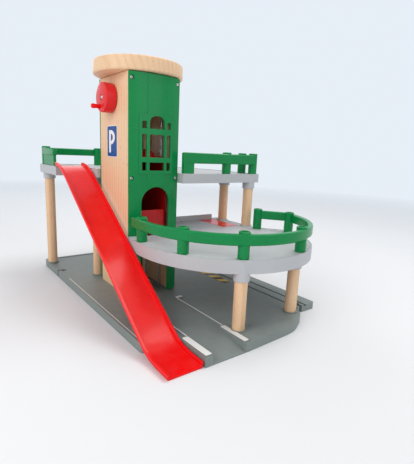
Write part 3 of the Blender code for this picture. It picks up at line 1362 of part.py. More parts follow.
def base_plate():
    """The base: a hollow moulding with the lane, forecourt, railway bed, lift pit and sockets."""
    outline = base_outline()
    base = prism("base_plate", [outline], 0.0, BASE_TOP, ROAD_GREY)
    cut(base, prism("hollow", [shifted(outline, SKIRT)], -0.01, BASE_TOP - BASE_PLATE))
    stands = (FRONT_PILLAR, RIGHT_PILLAR, REAR_PILLAR_A, REAR_PILLAR_B, TALL_OUTER, TALL_INNER)
    ribs = rib_grid(outline, RIB, BASE_TOP - BASE_PLATE / 2, BASE_RIB_SPACING)
    limit = prism("rib_limit", [shifted(outline, SKIRT / 2)], 0.0, BASE_TOP)
    for rib in ribs:
        boolean(rib, "INTERSECT", [limit])
    fuse(base, *ribs)
    front = LANE_SLOPE_START + 0.004
    lane_left = LANE_LEFT - LANE_BLOCK + SKIRT / 2
    rise = BASE_TOP + LANE_KERB_RISE
    left_kerb = (LANE_LEFT - LANE_KERB, LANE_LEFT)
    right_kerb = (LANE_RIGHT, LANE_RIGHT + LANE_KERB)
    kerb_start = LANE_SLOPE_START + 0.001
    kerb_z = (BASE_TOP - 0.001, rise)
    block_z = (BASE_TOP - 0.0012, rise)
    tab_x = (LANE_RIGHT + 0.001, LANE_RIGHT + LANE_TAB)
    tab_y = (LANE_TAB_Y - 0.0002, LANE_TAB_Y + 0.007)
    strip_x = (LANE_RIGHT - 0.005, LANE_RIGHT + 0.004)
    kerbs = [
        box("kerb", left_kerb, (kerb_start, -TOWER_HALF), kerb_z),
        box("kerb", right_kerb, (kerb_start, LANE_TAB_Y), kerb_z),
        box("tab", tab_x, tab_y, (BASE_TOP - 0.001, rise - 0.0002)),
        box("block", (lane_left, LANE_LEFT), (BASE_FRONT + 0.0015, LANE_SLOPE_START), block_z),
        box("strip", strip_x, (BASE_FRONT + 0.003, LANE_SLOPE_START), block_z),
    ]
    under = BASE_TOP - 0.001
    pan_x = (-TOWER_HALF - 0.003, TOWER_HALF + 0.003)
    pan_y = (-SHELL_CORNER - 0.002, SHELL_CORNER + 0.002)
    bed_y = (BASE_TRACK_FRONT + 0.001, TRACK_BACK - 0.001)
    bed_z = (TRACK_TOP - GROOVE_DEPTH - 0.0025, TRACK_TOP - 0.001)
    solids = [
        box("slope_fill", (lane_left, LANE_RIGHT + 0.006), (BASE_FRONT + 0.001, front), (0.0005, under)),
        box("pan", pan_x, pan_y, (PAN_LOW, under)),
        box("bed", (TRACK_LEFT - 0.003, BASE_RIGHT - 0.001), bed_y, bed_z),
        rod("tower_foot", FOOT_RADIUS, (0, 0, 0), (0, 0, PAN_LOW + 0.001), sides=24),
    ]
    sockets = [collar(xy, BASE_TOP - SOCKET_DEPTH - 0.002, BASE_TOP + SOCKET_RIM) for xy in stands]
    mouths = [
        ((TRACK_X, BASE_TRACK_FRONT), (0, 1)),
        ((TRACK_X, TRACK_BACK), (0, -1)),
        ((BASE_LEFT, SIDE_TRACK_Y), (1, 0)),
    ]
    pads = []
    for mouth, inward in mouths:
        centre = Vector(mouth) + Vector(inward) * SOCKET_INSET
        reach = SOCKET_INSET - 0.001
        pad_x = (centre.x - reach, centre.x + reach)
        pad_y = (centre.y - reach, centre.y + reach)
        pads.append(box("pad", pad_x, pad_y, (0.0004, BASE_TOP - BASE_PLATE / 2)))
    fuse(base, *solids, *kerbs, *pads)
    step_x = (TRACK_EDGE, BASE_RIGHT + OVERRUN)
    step_y = (BASE_TRACK_FRONT - OVERRUN, TRACK_BACK + OVERRUN)
    cut(base, box("track_step", step_x, step_y, (TRACK_TOP, BASE_TOP + OVERRUN)))
    cut(base, prism("forecourt", [forecourt_outline()], BASE_TOP - FORECOURT_STEP, BASE_TOP + 0.01))
    fuse(base, *sockets)
    slope = [
        (LANE_SLOPE_START, BASE_TOP),
        (LANE_SLOPE_START, BASE_TOP + 0.02),
        (BASE_FRONT - 0.01, BASE_TOP + 0.02),
        (BASE_FRONT - 0.01, LANE_SLOPE_FOOT),
        (BASE_FRONT, LANE_SLOPE_FOOT),
    ]
    cut(base, prism("lane_slope", [slope], LANE_LEFT, LANE_RIGHT - 0.005, axis="X"))
    for side in (-1, 1):
        x = TRACK_X + side * GROOVE_SPREAD
        groove_x = (x - GROOVE_WIDTH / 2, x + GROOVE_WIDTH / 2)
        groove_y = (BASE_TRACK_FRONT - 0.01, TRACK_BACK + 0.01)
        cut(base, box("groove", groove_x, groove_y, (TRACK_TOP - GROOVE_DEPTH, TRACK_TOP + 0.01)))
        pocket_x = sorted((side * (WELL_HALF - TOUCH), side * (TOWER_HALF + TOUCH)))
        pocket_half = BOARD_DEPTH / 2 + TOUCH
        pocket_z = (BASE_TOP - BOARD_POCKET - TOUCH, BASE_TOP + 0.01)
        cut(base, box("pocket", pocket_x, (-pocket_half, pocket_half), pocket_z))
        start = (rod_x(), side * ROD_Y, BASE_TOP - BOARD_POCKET)
        cut(base, rod("rod_hole", ROD_RADIUS + TOUCH, start, (rod_x(), side * ROD_Y, BASE_TOP + 0.01)))
    pit_x = CAB_HALF + 0.001
    pit_y = (-CAB_DEPTH / 2 - 0.0015, CAB_DEPTH / 2 + 0.0015)
    cut(base, box("pit", (-pit_x, pit_x), pit_y, (PIT_FLOOR, BASE_TOP + 0.01)))
    cut(base, *[cup(xy, BASE_TOP - SOCKET_DEPTH, BASE_TOP + 0.01) for xy in stands])
    cut(base, *[prism("keyhole", [keyhole(*mouth)], -0.01, BASE_TOP + 0.01) for mouth in mouths])


def main():
    """Build every piece of the garage."""
    base_plate()
    tower_board("tower_side_left", -1)
    tower_board("tower_side_right", 1)
    front_shell()
    rear_shell()
    shell_screws()
    lid()
    crank()
    idler()
    lift_cord()
    lift_cab()
    guide_rods()
    mid_deck()
    drop_hatch()
    mid_rail()
    upper_deck()
    upper_rails()
    pillars()
    ramp()


main()
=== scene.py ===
"""Dress the toy parking garage: finishes for its parts, smooth turned pieces, signs, lights and camera."""

import json
import math

import bmesh
import bpy
from bpy.props import FloatProperty, FloatVectorProperty, IntProperty, PointerProperty
from mathutils import Matrix, Vector

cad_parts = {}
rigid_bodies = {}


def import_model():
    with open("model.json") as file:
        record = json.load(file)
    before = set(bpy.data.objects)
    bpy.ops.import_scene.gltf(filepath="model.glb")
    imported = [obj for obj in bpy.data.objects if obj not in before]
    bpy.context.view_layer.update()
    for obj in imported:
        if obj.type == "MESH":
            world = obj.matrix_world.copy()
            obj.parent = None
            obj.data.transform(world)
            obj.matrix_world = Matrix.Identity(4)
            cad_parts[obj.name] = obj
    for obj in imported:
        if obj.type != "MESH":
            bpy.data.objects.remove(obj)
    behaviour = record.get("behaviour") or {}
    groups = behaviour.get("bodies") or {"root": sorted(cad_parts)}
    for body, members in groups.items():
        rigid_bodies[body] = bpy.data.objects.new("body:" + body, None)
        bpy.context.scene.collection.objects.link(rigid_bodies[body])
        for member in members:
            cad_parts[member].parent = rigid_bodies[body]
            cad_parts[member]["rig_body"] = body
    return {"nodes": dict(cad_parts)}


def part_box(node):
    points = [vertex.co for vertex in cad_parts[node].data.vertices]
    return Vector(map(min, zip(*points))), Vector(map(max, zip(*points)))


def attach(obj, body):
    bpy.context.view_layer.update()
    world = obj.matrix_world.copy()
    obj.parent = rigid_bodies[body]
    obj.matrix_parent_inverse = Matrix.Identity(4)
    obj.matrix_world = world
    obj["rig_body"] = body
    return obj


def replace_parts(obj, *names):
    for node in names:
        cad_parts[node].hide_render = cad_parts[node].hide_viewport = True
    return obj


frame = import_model()

bl_info = {
    "name": "Toy Parking Garage",
    "version": (1, 0, 0),
    "blender": (4, 5, 0),
    "location": "View3D > Sidebar > Garage",
    "description": "Builds the looks of a toy parking garage with a hand-cranked lift",
    "category": "Add Mesh",
}

BOARDS = ("tower_side_left", "tower_side_right")
SHELLS = ("front_shell", "rear_shell")
RAILS = ("mid_rail", "upper_rail_right", "upper_rail_left")
DECKS = ("mid_deck", "upper_deck")
PILLARS = tuple(name for name in frame["nodes"] if "pillar" in name)
SCREWS = tuple(name for name in frame["nodes"] if name.startswith("shell_screw"))
WHITE_PARTS = ("drive_pulley", "idler_pulley", "axle_bush", "cord_clamp", "top_plate")
STEEL_PARTS = (
    "crank_axle",
    "crank_screw",
    "gate_pin",
    "guide_rod_front",
    "guide_rod_rear",
    "hatch_pin",
    "hatch_spring",
    "idler_pin",
    "lid_screw",
)

# Sizes and places are in metres, in the CAD's own frame
MERGE = 0.000005
BASE_TOP = 0.0135
KERB_TOP = 0.0150
LINE_ROUNDING = 0.002
SCREW_HEAD_HEIGHT = 0.0016
SCREW_RECESS = 0.0009

# The parking sign's place on the left board along Y and Z, and its letter
SIGN_PLACE = (0.0045, 0.2722)
SIGN_BORDER = 0.0011
SIGN_ROUNDING = 0.0040
LETTER_HEIGHT = 0.0370
LETTER_THICK = 0.0003
STEM_WIDTH = 0.0072
STEM_EDGE = 0.0046
BOWL_REACH = 0.0117
BOWL_STROKE = 0.0058
BOWL_STRETCH = 1.38

# The printed warning band, and white strips that are painted highlights on the lit kerb and block tops and
# along the base's left edge: their reach along X and Y, and the surface that they lie on
WARNING_BAND = ((0.1440, 0.1590), (-0.0860, 0.0260), BASE_TOP)
PAINTED_HIGHLIGHT_STRIPS = {
    "block_line": ((-0.0510, -0.0414), (-0.2835, -0.2294), KERB_TOP),
    "left_kerb_line": ((-0.0428, -0.0412), (-0.2276, -0.0580), KERB_TOP),
    "right_block_line": ((0.0154, 0.0236), (-0.2820, -0.2294), KERB_TOP),
    "right_kerb_line": ((0.0202, 0.0218), (-0.2276, -0.1056), KERB_TOP),
    "kerb_tab_line": ((0.0214, 0.0336), (-0.1048, -0.0984), KERB_TOP - 0.0002),
    "edge_line": ((-0.0994, -0.0984), (-0.2060, 0.0870), BASE_TOP),
}

# The stage: the floor's size and where it fades, and the lamps with place, size, power and tint
FLOOR_SIZE = 6.0
FLOOR_FADE = (0.7, 2.6)
WORLD_STRENGTH = 0.52
LAMP_AIM = Vector((0.05, 0.0, 0.15))
LAMPS = {
    "Key": ((0.75, -0.15, 1.70), 1.0, 14.0, (1.0, 0.98, 0.95)),
    "Side": ((-1.30, -0.40, 0.90), 1.2, 11.0, (1.0, 0.97, 0.93)),
    "Front": ((0.35, -1.40, 0.80), 1.2, 3.5, (1.0, 1.0, 1.0)),
    "Back": ((0.30, 1.50, 1.20), 1.2, 6.0, (1.0, 1.0, 1.0)),
}

# The camera was fitted to the photograph: its focal length is in pixels of the longer side
CAMERA_PLACE = (-0.3166, -0.6175, 0.2602)
CAMERA_YAW = math.radians(37.747)
CAMERA_PITCH = math.radians(11.790)
CAMERA_ROLL = math.radians(2.536)
FOCAL_PIXELS = 378.97
LONG_SIDE_PIXELS = 464
SENSOR = 36.0


def colour(name, description, value):
    """A colour setting."""
    return FloatVectorProperty(
        name=name, description=description, subtype="COLOR", size=3, min=0, max=1, default=value
    )


def length(name, description, value):
    """A length setting."""
    return FloatProperty(
        name=name, description=description, default=value, min=0.0, unit="LENGTH", precision=4
    )


class GarageColours(bpy.types.PropertyGroup):
    """Colours of the garage's finishes."""

    beech: colour("Beech", "Pale wood between the growth rings", (0.86, 0.60, 0.38))
    beech_ring: colour("Beech ring", "Darker wood of the growth rings", (0.72, 0.44, 0.25))
    green: colour("Green", "Plastic of the shells and rails", (0.002, 0.235, 0.060))
    red: colour("Red", "Plastic of the ramp, hatch and knob", (0.88, 0.003, 0.004))
    crank: colour("Crank", "Plastic of the crank wheel", (0.74, 0.022, 0.026))
    cab: colour("Cab", "Plastic of the lift cab and its gate", (0.50, 0.004, 0.008))
    deck: colour("Deck", "Plastic of the two decks", (0.50, 0.515, 0.535))
    road: colour("Road", "Plastic of the base", (0.235, 0.27, 0.26))
    # This white also colours the painted highlight strips on the kerb and block tops and along the base's
    # left edge
    white: colour("White", "Pulleys, painted lines and the sign's letter", (0.84, 0.84, 0.82))
    sign: colour("Sign", "Blue ground of the parking sign", (0.003, 0.062, 0.28))
    warning: colour("Warning", "Yellow of the warning stripes", (0.86, 0.56, 0.01))
    steel: colour("Steel", "Screws, rods and pins", (0.60, 0.59, 0.57))
    cord: colour("Cord", "Yarn of the lift cord", (0.78, 0.76, 0.70))


class GarageSizes(bpy.types.PropertyGroup):
    """Sizes of the dressed pieces."""

    pillar_rounding: length("Pillar rounding", "Rounded edge at both ends of a pillar", 0.0010)
    lid_rounding: length("Lid rounding", "Rounded edge of the lid", 0.0032)
    sign_width: length("Sign width", "Width of the parking sign", 0.0400)
    sign_height: length("Sign height", "Height of the parking sign", 0.0520)
    sign_thick: length("Sign thickness", "Thickness of the parking sign", 0.0004)
    line_thick: length("Line thickness", "Thickness of a painted line", 0.0003)
    turn_steps: IntProperty(
        name="Turn steps", description="Faces round a turned piece", default=64, min=12, max=128
    )


def palette(name):
    """A colour setting as a node colour."""
    return (*getattr(bpy.context.scene.garage_colours, name), 1.0)


def sizes():
    """The size settings."""
    return bpy.context.scene.garage_sizes


class Tree:
    """Adds and joins the nodes of one node tree."""

    def __init__(self, tree):
        self.tree = tree

    def link(self, output, socket):
        """Join an output to an input."""
        self.tree.links.new(output, socket)

    def node(self, kind, inputs=None, **settings):
        """Add a node, set it up and join its inputs."""
        made = self.tree.nodes.new(kind)
        for key, value in settings.items():
            setattr(made, key, value)
        for key, value in (inputs or {}).items():
            if isinstance(value, bpy.types.NodeSocket):
                self.link(value, made.inputs[key])
            else:
                made.inputs[key].default_value = value
        return made

    def noise(self, vector, scale, detail=2.0, roughness=0.5, distortion=0.0):
        """A noise texture's value."""
        inputs = {
            "Vector": vector,
            "Scale": scale,
            "Detail": detail,
            "Roughness": roughness,
            "Distortion": distortion,
        }
        return self.node("ShaderNodeTexNoise", inputs).outputs["Fac"]

    def stretch(self, vector, scale):
        """Coordinates scaled by a value on each axis."""
        inputs = {0: vector, 1: scale}
        return self.node("ShaderNodeVectorMath", inputs, operation="MULTIPLY").outputs[0]

    def span(self, value, low, high, start=0.0, end=1.0):
        """Map a value from one range to another, clamped."""
        inputs = {"Value": value, "From Min": low, "From Max": high, "To Min": start, "To Max": end}
        return self.node("ShaderNodeMapRange", inputs).outputs[0]

    def maths(self, operation, first, second):
        """Arithmetic on two values."""
        return self.node("ShaderNodeMath", {0: first, 1: second}, operation=operation).outputs[0]

    def blend(self, factor, first, second, kind="MIX"):
        """Mix two colours."""
        inputs = {0: factor, 6: first, 7: second}
        return self.node("ShaderNodeMix", inputs, data_type="RGBA", blend_type=kind).outputs[2]


def effect(name, inputs, outputs):
    """Start a shader node group with named sockets."""
    group = bpy.data.node_groups.new(name, "ShaderNodeTree")
    for label, kind, value in inputs:
        socket = group.interface.new_socket(label, in_out="INPUT", socket_type=kind)
        if value is not None:
            socket.default_value = value
    for label, kind in outputs:
        group.interface.new_socket(label, in_out="OUTPUT", socket_type=kind)
    tree = Tree(group)
    return group, tree, tree.node("NodeGroupInput").outputs, tree.node("NodeGroupOutput").inputs


def moulded_effect():
    """Injection-moulded plastic: faint flow marks, a fine spark texture, scuffs and dust on top faces."""
    group, tree, given, result = effect(
        "Moulded plastic",
        [
            ("Vector", "NodeSocketVector", None),
            ("Colour", "NodeSocketColor", (0.5, 0.5, 0.5, 1.0)),
            ("Roughness", "NodeSocketFloat", 0.3),
            ("Flow", "NodeSocketFloat", 0.06),
            ("Spark", "NodeSocketFloat", 0.1),
            ("Dust", "NodeSocketFloat", 0.05),
        ],
        [("Colour", "NodeSocketColor"), ("Roughness", "NodeSocketFloat"), ("Height", "NodeSocketFloat")],
    )
    flow = tree.noise(given["Vector"], 22.0, detail=3.0, roughness=0.55, distortion=0.8)
    flow = tree.span(flow, 0.3, 0.7, -1.0, 1.0)
    shade = tree.maths("MULTIPLY", flow, given["Flow"])
    grain = tree.noise(given["Vector"], 1400.0, roughness=0.6)
    scratches = tree.stretch(given["Vector"], (90.0, 700.0, 260.0))
    scuffs = tree.span(tree.noise(scratches, 1.0, detail=3.0), 0.66, 0.74)
    lift = tree.maths("ADD", 1.0, shade)
    bright = tree.node("ShaderNodeCombineColor", {0: lift, 1: lift, 2: lift}).outputs[0]
    tinted = tree.blend(1.0, given["Colour"], bright, "MULTIPLY")
    normal = tree.node("ShaderNodeNewGeometry").outputs["Normal"]
    up = tree.node("ShaderNodeSeparateXYZ", {0: normal}).outputs[2]
    cloud = tree.span(tree.noise(given["Vector"], 60.0, detail=5.0), 0.4, 0.8)
    settled = tree.maths("MULTIPLY", tree.span(up, 0.5, 1.0), cloud)
    dust = tree.maths("MULTIPLY", settled, given["Dust"])
    dusty = tree.blend(dust, tinted, (0.70, 0.68, 0.64, 1.0))
    tree.link(dusty, result["Colour"])
    rough = tree.maths("ADD", given["Roughness"], tree.maths("MULTIPLY", flow, 0.04))
    rough = tree.maths("ADD", rough, tree.maths("MULTIPLY", scuffs, 0.18))
    tree.link(tree.maths("ADD", rough, tree.maths("MULTIPLY", dust, 0.8)), result["Roughness"])
    height = tree.maths("MULTIPLY", grain, given["Spark"])
    height = tree.maths("SUBTRACT", height, tree.maths("MULTIPLY", scuffs, 0.05))
    tree.link(tree.maths("ADD", height, tree.maths("MULTIPLY", flow, 0.12)), result["Height"])
    return group


def wood_effect():
    """Steamed beech: wavering growth rings, short dark rays and fine pores along the grain."""
    group, tree, given, result = effect(
        "Beech grain",
        [
            ("Vector", "NodeSocketVector", None),
            ("Pale", "NodeSocketColor", (0.86, 0.62, 0.40, 1.0)),
            ("Ring", "NodeSocketColor", (0.74, 0.48, 0.28, 1.0)),
            ("Contrast", "NodeSocketFloat", 0.6),
        ],
        [("Colour", "NodeSocketColor"), ("Roughness", "NodeSocketFloat"), ("Height", "NodeSocketFloat")],
    )
    sway = tree.noise(tree.stretch(given["Vector"], (14.0, 14.0, 3.0)), 1.0)
    sway = tree.stretch(sway, (0.016, 0.010, 0.0))
    along = tree.stretch(given["Vector"], (1.0, 1.0, 0.10))
    moved = tree.node("ShaderNodeVectorMath", {0: along, 1: sway}, operation="ADD").outputs[0]
    rings = tree.node(
        "ShaderNodeTexWave",
        {"Vector": moved, "Scale": 34.0, "Distortion": 2.2, "Detail": 3.0, "Detail Scale": 1.4},
        wave_type="BANDS",
        bands_direction="X",
    ).outputs["Fac"]
    rings = tree.maths("POWER", rings, 2.2)
    fibre = tree.noise(tree.stretch(given["Vector"], (900.0, 900.0, 26.0)), 1.0, detail=3.0, roughness=0.6)
    rays = tree.noise(tree.stretch(given["Vector"], (620.0, 620.0, 150.0)), 1.0, detail=1.0)
    rays = tree.span(rays, 0.66, 0.74)
    patch = tree.span(tree.noise(given["Vector"], 9.0), 0.3, 0.7, -0.15, 0.15)
    amount = tree.maths("ADD", tree.maths("MULTIPLY", rings, 0.7), tree.maths("MULTIPLY", fibre, 0.35))
    amount = tree.maths("MULTIPLY", tree.maths("ADD", amount, patch), given["Contrast"])
    shade = tree.blend(amount, given["Pale"], given["Ring"])
    shade = tree.blend(tree.maths("MULTIPLY", rays, 0.45), shade, (0.42, 0.22, 0.11, 1.0))
    tree.link(shade, result["Colour"])
    tree.link(tree.span(fibre, 0.2, 0.8, 0.36, 0.52), result["Roughness"])
    height = tree.maths("ADD", tree.maths("MULTIPLY", fibre, 0.5), tree.maths("MULTIPLY", rings, 0.2))
    tree.link(tree.maths("SUBTRACT", height, tree.maths("MULTIPLY", rays, 0.3)), result["Height"])
    return group


def stripe_effect():
    """Slanting stripes with slightly worn edges, as a mask."""
    group, tree, given, result = effect(
        "Slanting stripes",
        [
            ("Vector", "NodeSocketVector", None),
            ("Pitch", "NodeSocketFloat", 0.028),
            ("Slant", "NodeSocketFloat", 0.7),
        ],
        [("Mask", "NodeSocketFloat")],
    )
    split = tree.node("ShaderNodeSeparateXYZ", {0: given["Vector"]}).outputs
    slanted = tree.maths("ADD", split[1], tree.maths("MULTIPLY", split[0], given["Slant"]))
    phase = tree.maths("FRACT", tree.maths("DIVIDE", slanted, given["Pitch"]), 0.0)
    worn = tree.span(tree.noise(given["Vector"], 800.0, detail=3.0), 0.0, 1.0, -0.02, 0.02)
    tree.link(tree.span(tree.maths("ADD", phase, worn), 0.49, 0.51), result["Mask"])
    return group


def shader(name, tint, roughness, metallic=0.0, coat=0.0):
    """Start a material with a Principled BSDF; gives the material, its tree and that node."""
    material = bpy.data.materials.new(name)
    material.use_nodes = True
    material.diffuse_color = tint
    tree = Tree(material.node_tree)
    surface = material.node_tree.nodes["Principled BSDF"]
    surface.inputs["Base Color"].default_value = tint
    surface.inputs["Roughness"].default_value = roughness
    surface.inputs["Metallic"].default_value = metallic
    surface.inputs["Coat Weight"].default_value = coat
    surface.inputs["Coat Roughness"].default_value = 0.08
    surface.inputs["Specular IOR Level"].default_value = 0.20
    return material, tree, surface


def add_bump(tree, surface, height, strength, distance):
    """Feed a height into the surface's normal."""
    bump = tree.node("ShaderNodeBump", {"Height": height, "Strength": strength, "Distance": distance})
    tree.link(bump.outputs[0], surface.inputs["Normal"])


def object_vector(tree, turn=(0.0, 0.0, 0.0), shift=(0.0, 0.0, 0.0)):
    """Object coordinates, turned and moved."""
    place = tree.node("ShaderNodeTexCoord").outputs["Object"]
    return tree.node("ShaderNodeMapping", {"Vector": place, "Location": shift, "Rotation": turn}).outputs[0]


def plastic(name, tint, roughness, flow=0.05, spark=0.10, dust=0.04, coat=0.0):
    """A moulded plastic."""
    material, tree, surface = shader(name, palette(tint), roughness, coat=coat)
    group = bpy.data.node_groups.get("Moulded plastic") or moulded_effect()
    inputs = {
        "Vector": object_vector(tree),
        "Colour": palette(tint),
        "Roughness": roughness,
        "Flow": flow,
        "Spark": spark,
        "Dust": dust,
    }
    skin = tree.node("ShaderNodeGroup", inputs, node_tree=group)
    tree.link(skin.outputs["Colour"], surface.inputs["Base Color"])
    tree.link(skin.outputs["Roughness"], surface.inputs["Roughness"])
    add_bump(tree, surface, skin.outputs["Height"], 0.35, 0.0004)
    return material


def wood(name, turn, shift, contrast):
    """Beech with its grain along the turned Z axis."""
    material, tree, surface = shader(name, palette("beech"), 0.42, coat=0.15)
    group = bpy.data.node_groups.get("Beech grain") or wood_effect()
    inputs = {
        "Vector": object_vector(tree, turn, shift),
        "Pale": palette("beech"),
        "Ring": palette("beech_ring"),
        "Contrast": contrast,
    }
    grain = tree.node("ShaderNodeGroup", inputs, node_tree=group)
    tree.link(grain.outputs["Colour"], surface.inputs["Base Color"])
    tree.link(grain.outputs["Roughness"], surface.inputs["Roughness"])
    add_bump(tree, surface, grain.outputs["Height"], 0.30, 0.0003)
    return material


def steel(name, roughness=0.30):
    """Drawn steel with fine lines and a cloudy finish."""
    material, tree, surface = shader(name, palette("steel"), roughness, metallic=1.0)
    place = object_vector(tree)
    lines = tree.noise(tree.stretch(place, (1500.0, 1500.0, 60.0)), 1.0)
    cloud = tree.noise(place, 120.0, detail=3.0)
    rough = tree.span(cloud, 0.3, 0.7, roughness - 0.06, roughness + 0.10)
    tree.link(rough, surface.inputs["Roughness"])
    tint = tree.blend(tree.span(cloud, 0.3, 0.7), palette("steel"), (0.46, 0.45, 0.43, 1.0))
    tree.link(tint, surface.inputs["Base Color"])
    add_bump(tree, surface, lines, 0.15, 0.0001)
    return material


def yarn(name):
    """A white twisted cord."""
    material, tree, surface = shader(name, palette("cord"), 0.85)
    surface.inputs["Sheen Weight"].default_value = 0.25
    place = object_vector(tree)
    laid = tree.stretch(place, (0.35, 1.0, 0.55))
    twist = tree.node(
        "ShaderNodeTexWave",
        {"Vector": laid, "Scale": 520.0, "Distortion": 0.6, "Detail": 1.0},
        wave_type="BANDS",
        bands_direction="DIAGONAL",
    ).outputs["Fac"]
    fuzz = tree.noise(place, 2600.0)
    shade = tree.blend(tree.maths("MULTIPLY", twist, 0.5), palette("cord"), (0.50, 0.47, 0.42, 1.0))
    tree.link(shade, surface.inputs["Base Color"])
    add_bump(tree, surface, tree.maths("ADD", twist, tree.maths("MULTIPLY", fuzz, 0.4)), 0.5, 0.0003)
    return material


def warning_print(name):
    """Printed warning stripes."""
    material, tree, surface = shader(name, palette("warning"), 0.40)
    place = object_vector(tree)
    group = bpy.data.node_groups.get("Slanting stripes") or stripe_effect()
    stripes = tree.node("ShaderNodeGroup", {"Vector": place}, node_tree=group)
    tint = tree.blend(stripes.outputs["Mask"], palette("warning"), (0.012, 0.012, 0.012, 1.0))
    tree.link(tint, surface.inputs["Base Color"])
    add_bump(tree, surface, tree.noise(place, 1200.0), 0.15, 0.0002)
    return material


def dress(nodes, material):
    """Give CAD parts a finish."""
    for name in nodes:
        mesh = frame["nodes"][name].data
        mesh.materials.clear()
        mesh.materials.append(material)


def piece(name, work, material, body, sharp=35.0):
    """Make a finished piece from a bmesh: shade it smooth between sharp edges and let it ride on a body."""
    bmesh.ops.recalc_face_normals(work, faces=work.faces)
    for face in work.faces:
        face.smooth = True
    for edge in work.edges:
        if edge.is_manifold and edge.calc_face_angle(0.0) > math.radians(sharp):
            edge.smooth = False
    mesh = bpy.data.meshes.new(name)
    work.to_mesh(mesh)
    work.free()
    mesh.materials.append(material)
    obj = bpy.data.objects.new(name, mesh)
    bpy.context.scene.collection.objects.link(obj)
    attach(obj, body)
    return obj


def body_of(node):
    """The name of the body that a CAD part belongs to."""
    return frame["nodes"][node]["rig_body"]


def smoothed(node, material, sharp=35.0):
    """A part's own shape with its doubles merged, so that its curved walls shade smoothly."""
    work = bmesh.new()
    work.from_mesh(frame["nodes"][node].data)
    bmesh.ops.remove_doubles(work, verts=work.verts, dist=MERGE)
    made = piece("dressed_" + node, work, material, body_of(node), sharp)
    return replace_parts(made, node)


def revolved(profile, steps):
    """Spin a closed profile of (radius, height) round the Z axis into a closed solid."""
    work = bmesh.new()
    ring = [work.verts.new((radius, 0.0, height)) for radius, height in profile]
    edges = [work.edges.new(pair) for pair in zip(ring, ring[1:])]
    bmesh.ops.spin(
        work,
        geom=[*ring, *edges],
        cent=(0, 0, 0),
        axis=(0, 0, 1),
        angle=2 * math.pi,
        steps=steps,
        use_merge=True,
    )
    bmesh.ops.remove_doubles(work, verts=work.verts, dist=MERGE)
    return work


def rounded_disc(low, high, rounding, corner_steps, steps):
    """A turned disc or pillar on the Z axis, with both its edges rounded."""
    radius = (high.x - low.x) / 2
    top = corner(radius, high.z, rounding, 1, corner_steps)
    bottom = corner(radius, low.z, rounding, -1, corner_steps)
    return revolved([(0.0, high.z), *top, *bottom[::-1], (0.0, low.z)], steps)


def rounded_plate(size, rounding, segments, thin_axis):
    """A thin plate round the origin, with its corners rounded in its own plane."""
    work = bmesh.new()
    bmesh.ops.create_cube(work, size=1.0)
    bmesh.ops.scale(work, vec=size, verts=work.verts)
    thick = size[thin_axis]
    across = [e for e in work.edges if abs((e.verts[0].co - e.verts[1].co)[thin_axis]) > thick / 2]
    bmesh.ops.bevel(
        work,
        geom=across,
        offset=rounding,
        segments=segments,
        profile=0.5,
        affect="EDGES",
        material=-1,
        clamp_overlap=True,
    )
    return work


def corner(radius, height, rounding, side, steps):
    """Points of a turned profile's rounded corner, from the flat to the wall. Side 1 is the top."""
    points = []
    for i in range(steps + 1):
        angle = math.pi / 2 * i / steps
        reach = radius - rounding + rounding * math.sin(angle)
        points.append((reach, height - side * (rounding - rounding * math.cos(angle))))
    return points


class GARAGE_OT_finishes(bpy.types.Operator):
    """Give the parts that keep their own shape their finishes"""

    bl_idname = "garage.finishes"
    bl_label = "Finishes"

    def execute(self, context):
        dress(STEEL_PARTS, steel("Drawn steel"))
        dress(WHITE_PARTS, plastic("White plastic", "white", 0.38, flow=0.03, dust=0.02))
        return {"FINISHED"}


class GARAGE_OT_tower(bpy.types.Operator):
    """Dress the wooden boards and the bowed green shells"""

    bl_idname = "garage.tower"
    bl_label = "Tower"

    def execute(self, context):
        for name, shift in zip(BOARDS, (0.004, 0.031)):
            title = "Beech board " + name.split("_")[-1]
            board = wood(title, (0.0, 0.0, math.radians(78)), (shift, 0.0, 0.0), 0.55)
            smoothed(name, board)
        green = plastic("Green plastic", "green", 0.27, flow=0.05, spark=0.06, dust=0.02, coat=0.1)
        for name in (*SHELLS, *RAILS):
            smoothed(name, green, 24.0 if name in SHELLS else 40.0)
        return {"FINISHED"}


class GARAGE_OT_lid(bpy.types.Operator):
    """Turn the round wooden lid"""

    bl_idname = "garage.lid"
    bl_label = "Lid"

    def execute(self, context):
        low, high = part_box("roof_lid")
        work = rounded_disc(low, high, sizes().lid_rounding, 5, 2 * sizes().turn_steps)
        beech = wood("Beech lid", (math.radians(90), 0.0, math.radians(8)), (0.02, 0.0, 0.05), 0.5)
        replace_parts(piece("lid_disc", work, beech, "garage"), "roof_lid")
        return {"FINISHED"}


class GARAGE_OT_pillars(bpy.types.Operator):
    """Turn the round wooden pillars"""

    bl_idname = "garage.pillars"
    bl_label = "Pillars"

    def execute(self, context):
        for number, name in enumerate(PILLARS):
            low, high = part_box(name)
            work = rounded_disc(low, high, sizes().pillar_rounding, 3, sizes().turn_steps // 2)
            place = ((low.x + high.x) / 2, (low.y + high.y) / 2, 0.0)
            bmesh.ops.translate(work, vec=place, verts=work.verts)
            shift = (0.013 * number, 0.0, 0.1 * number)
            beech = wood(f"Beech pillar {number + 1}", (0.0, 0.0, 0.7 * number), shift, 0.7)
            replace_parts(piece("turned_" + name, work, beech, "garage"), name)
        return {"FINISHED"}


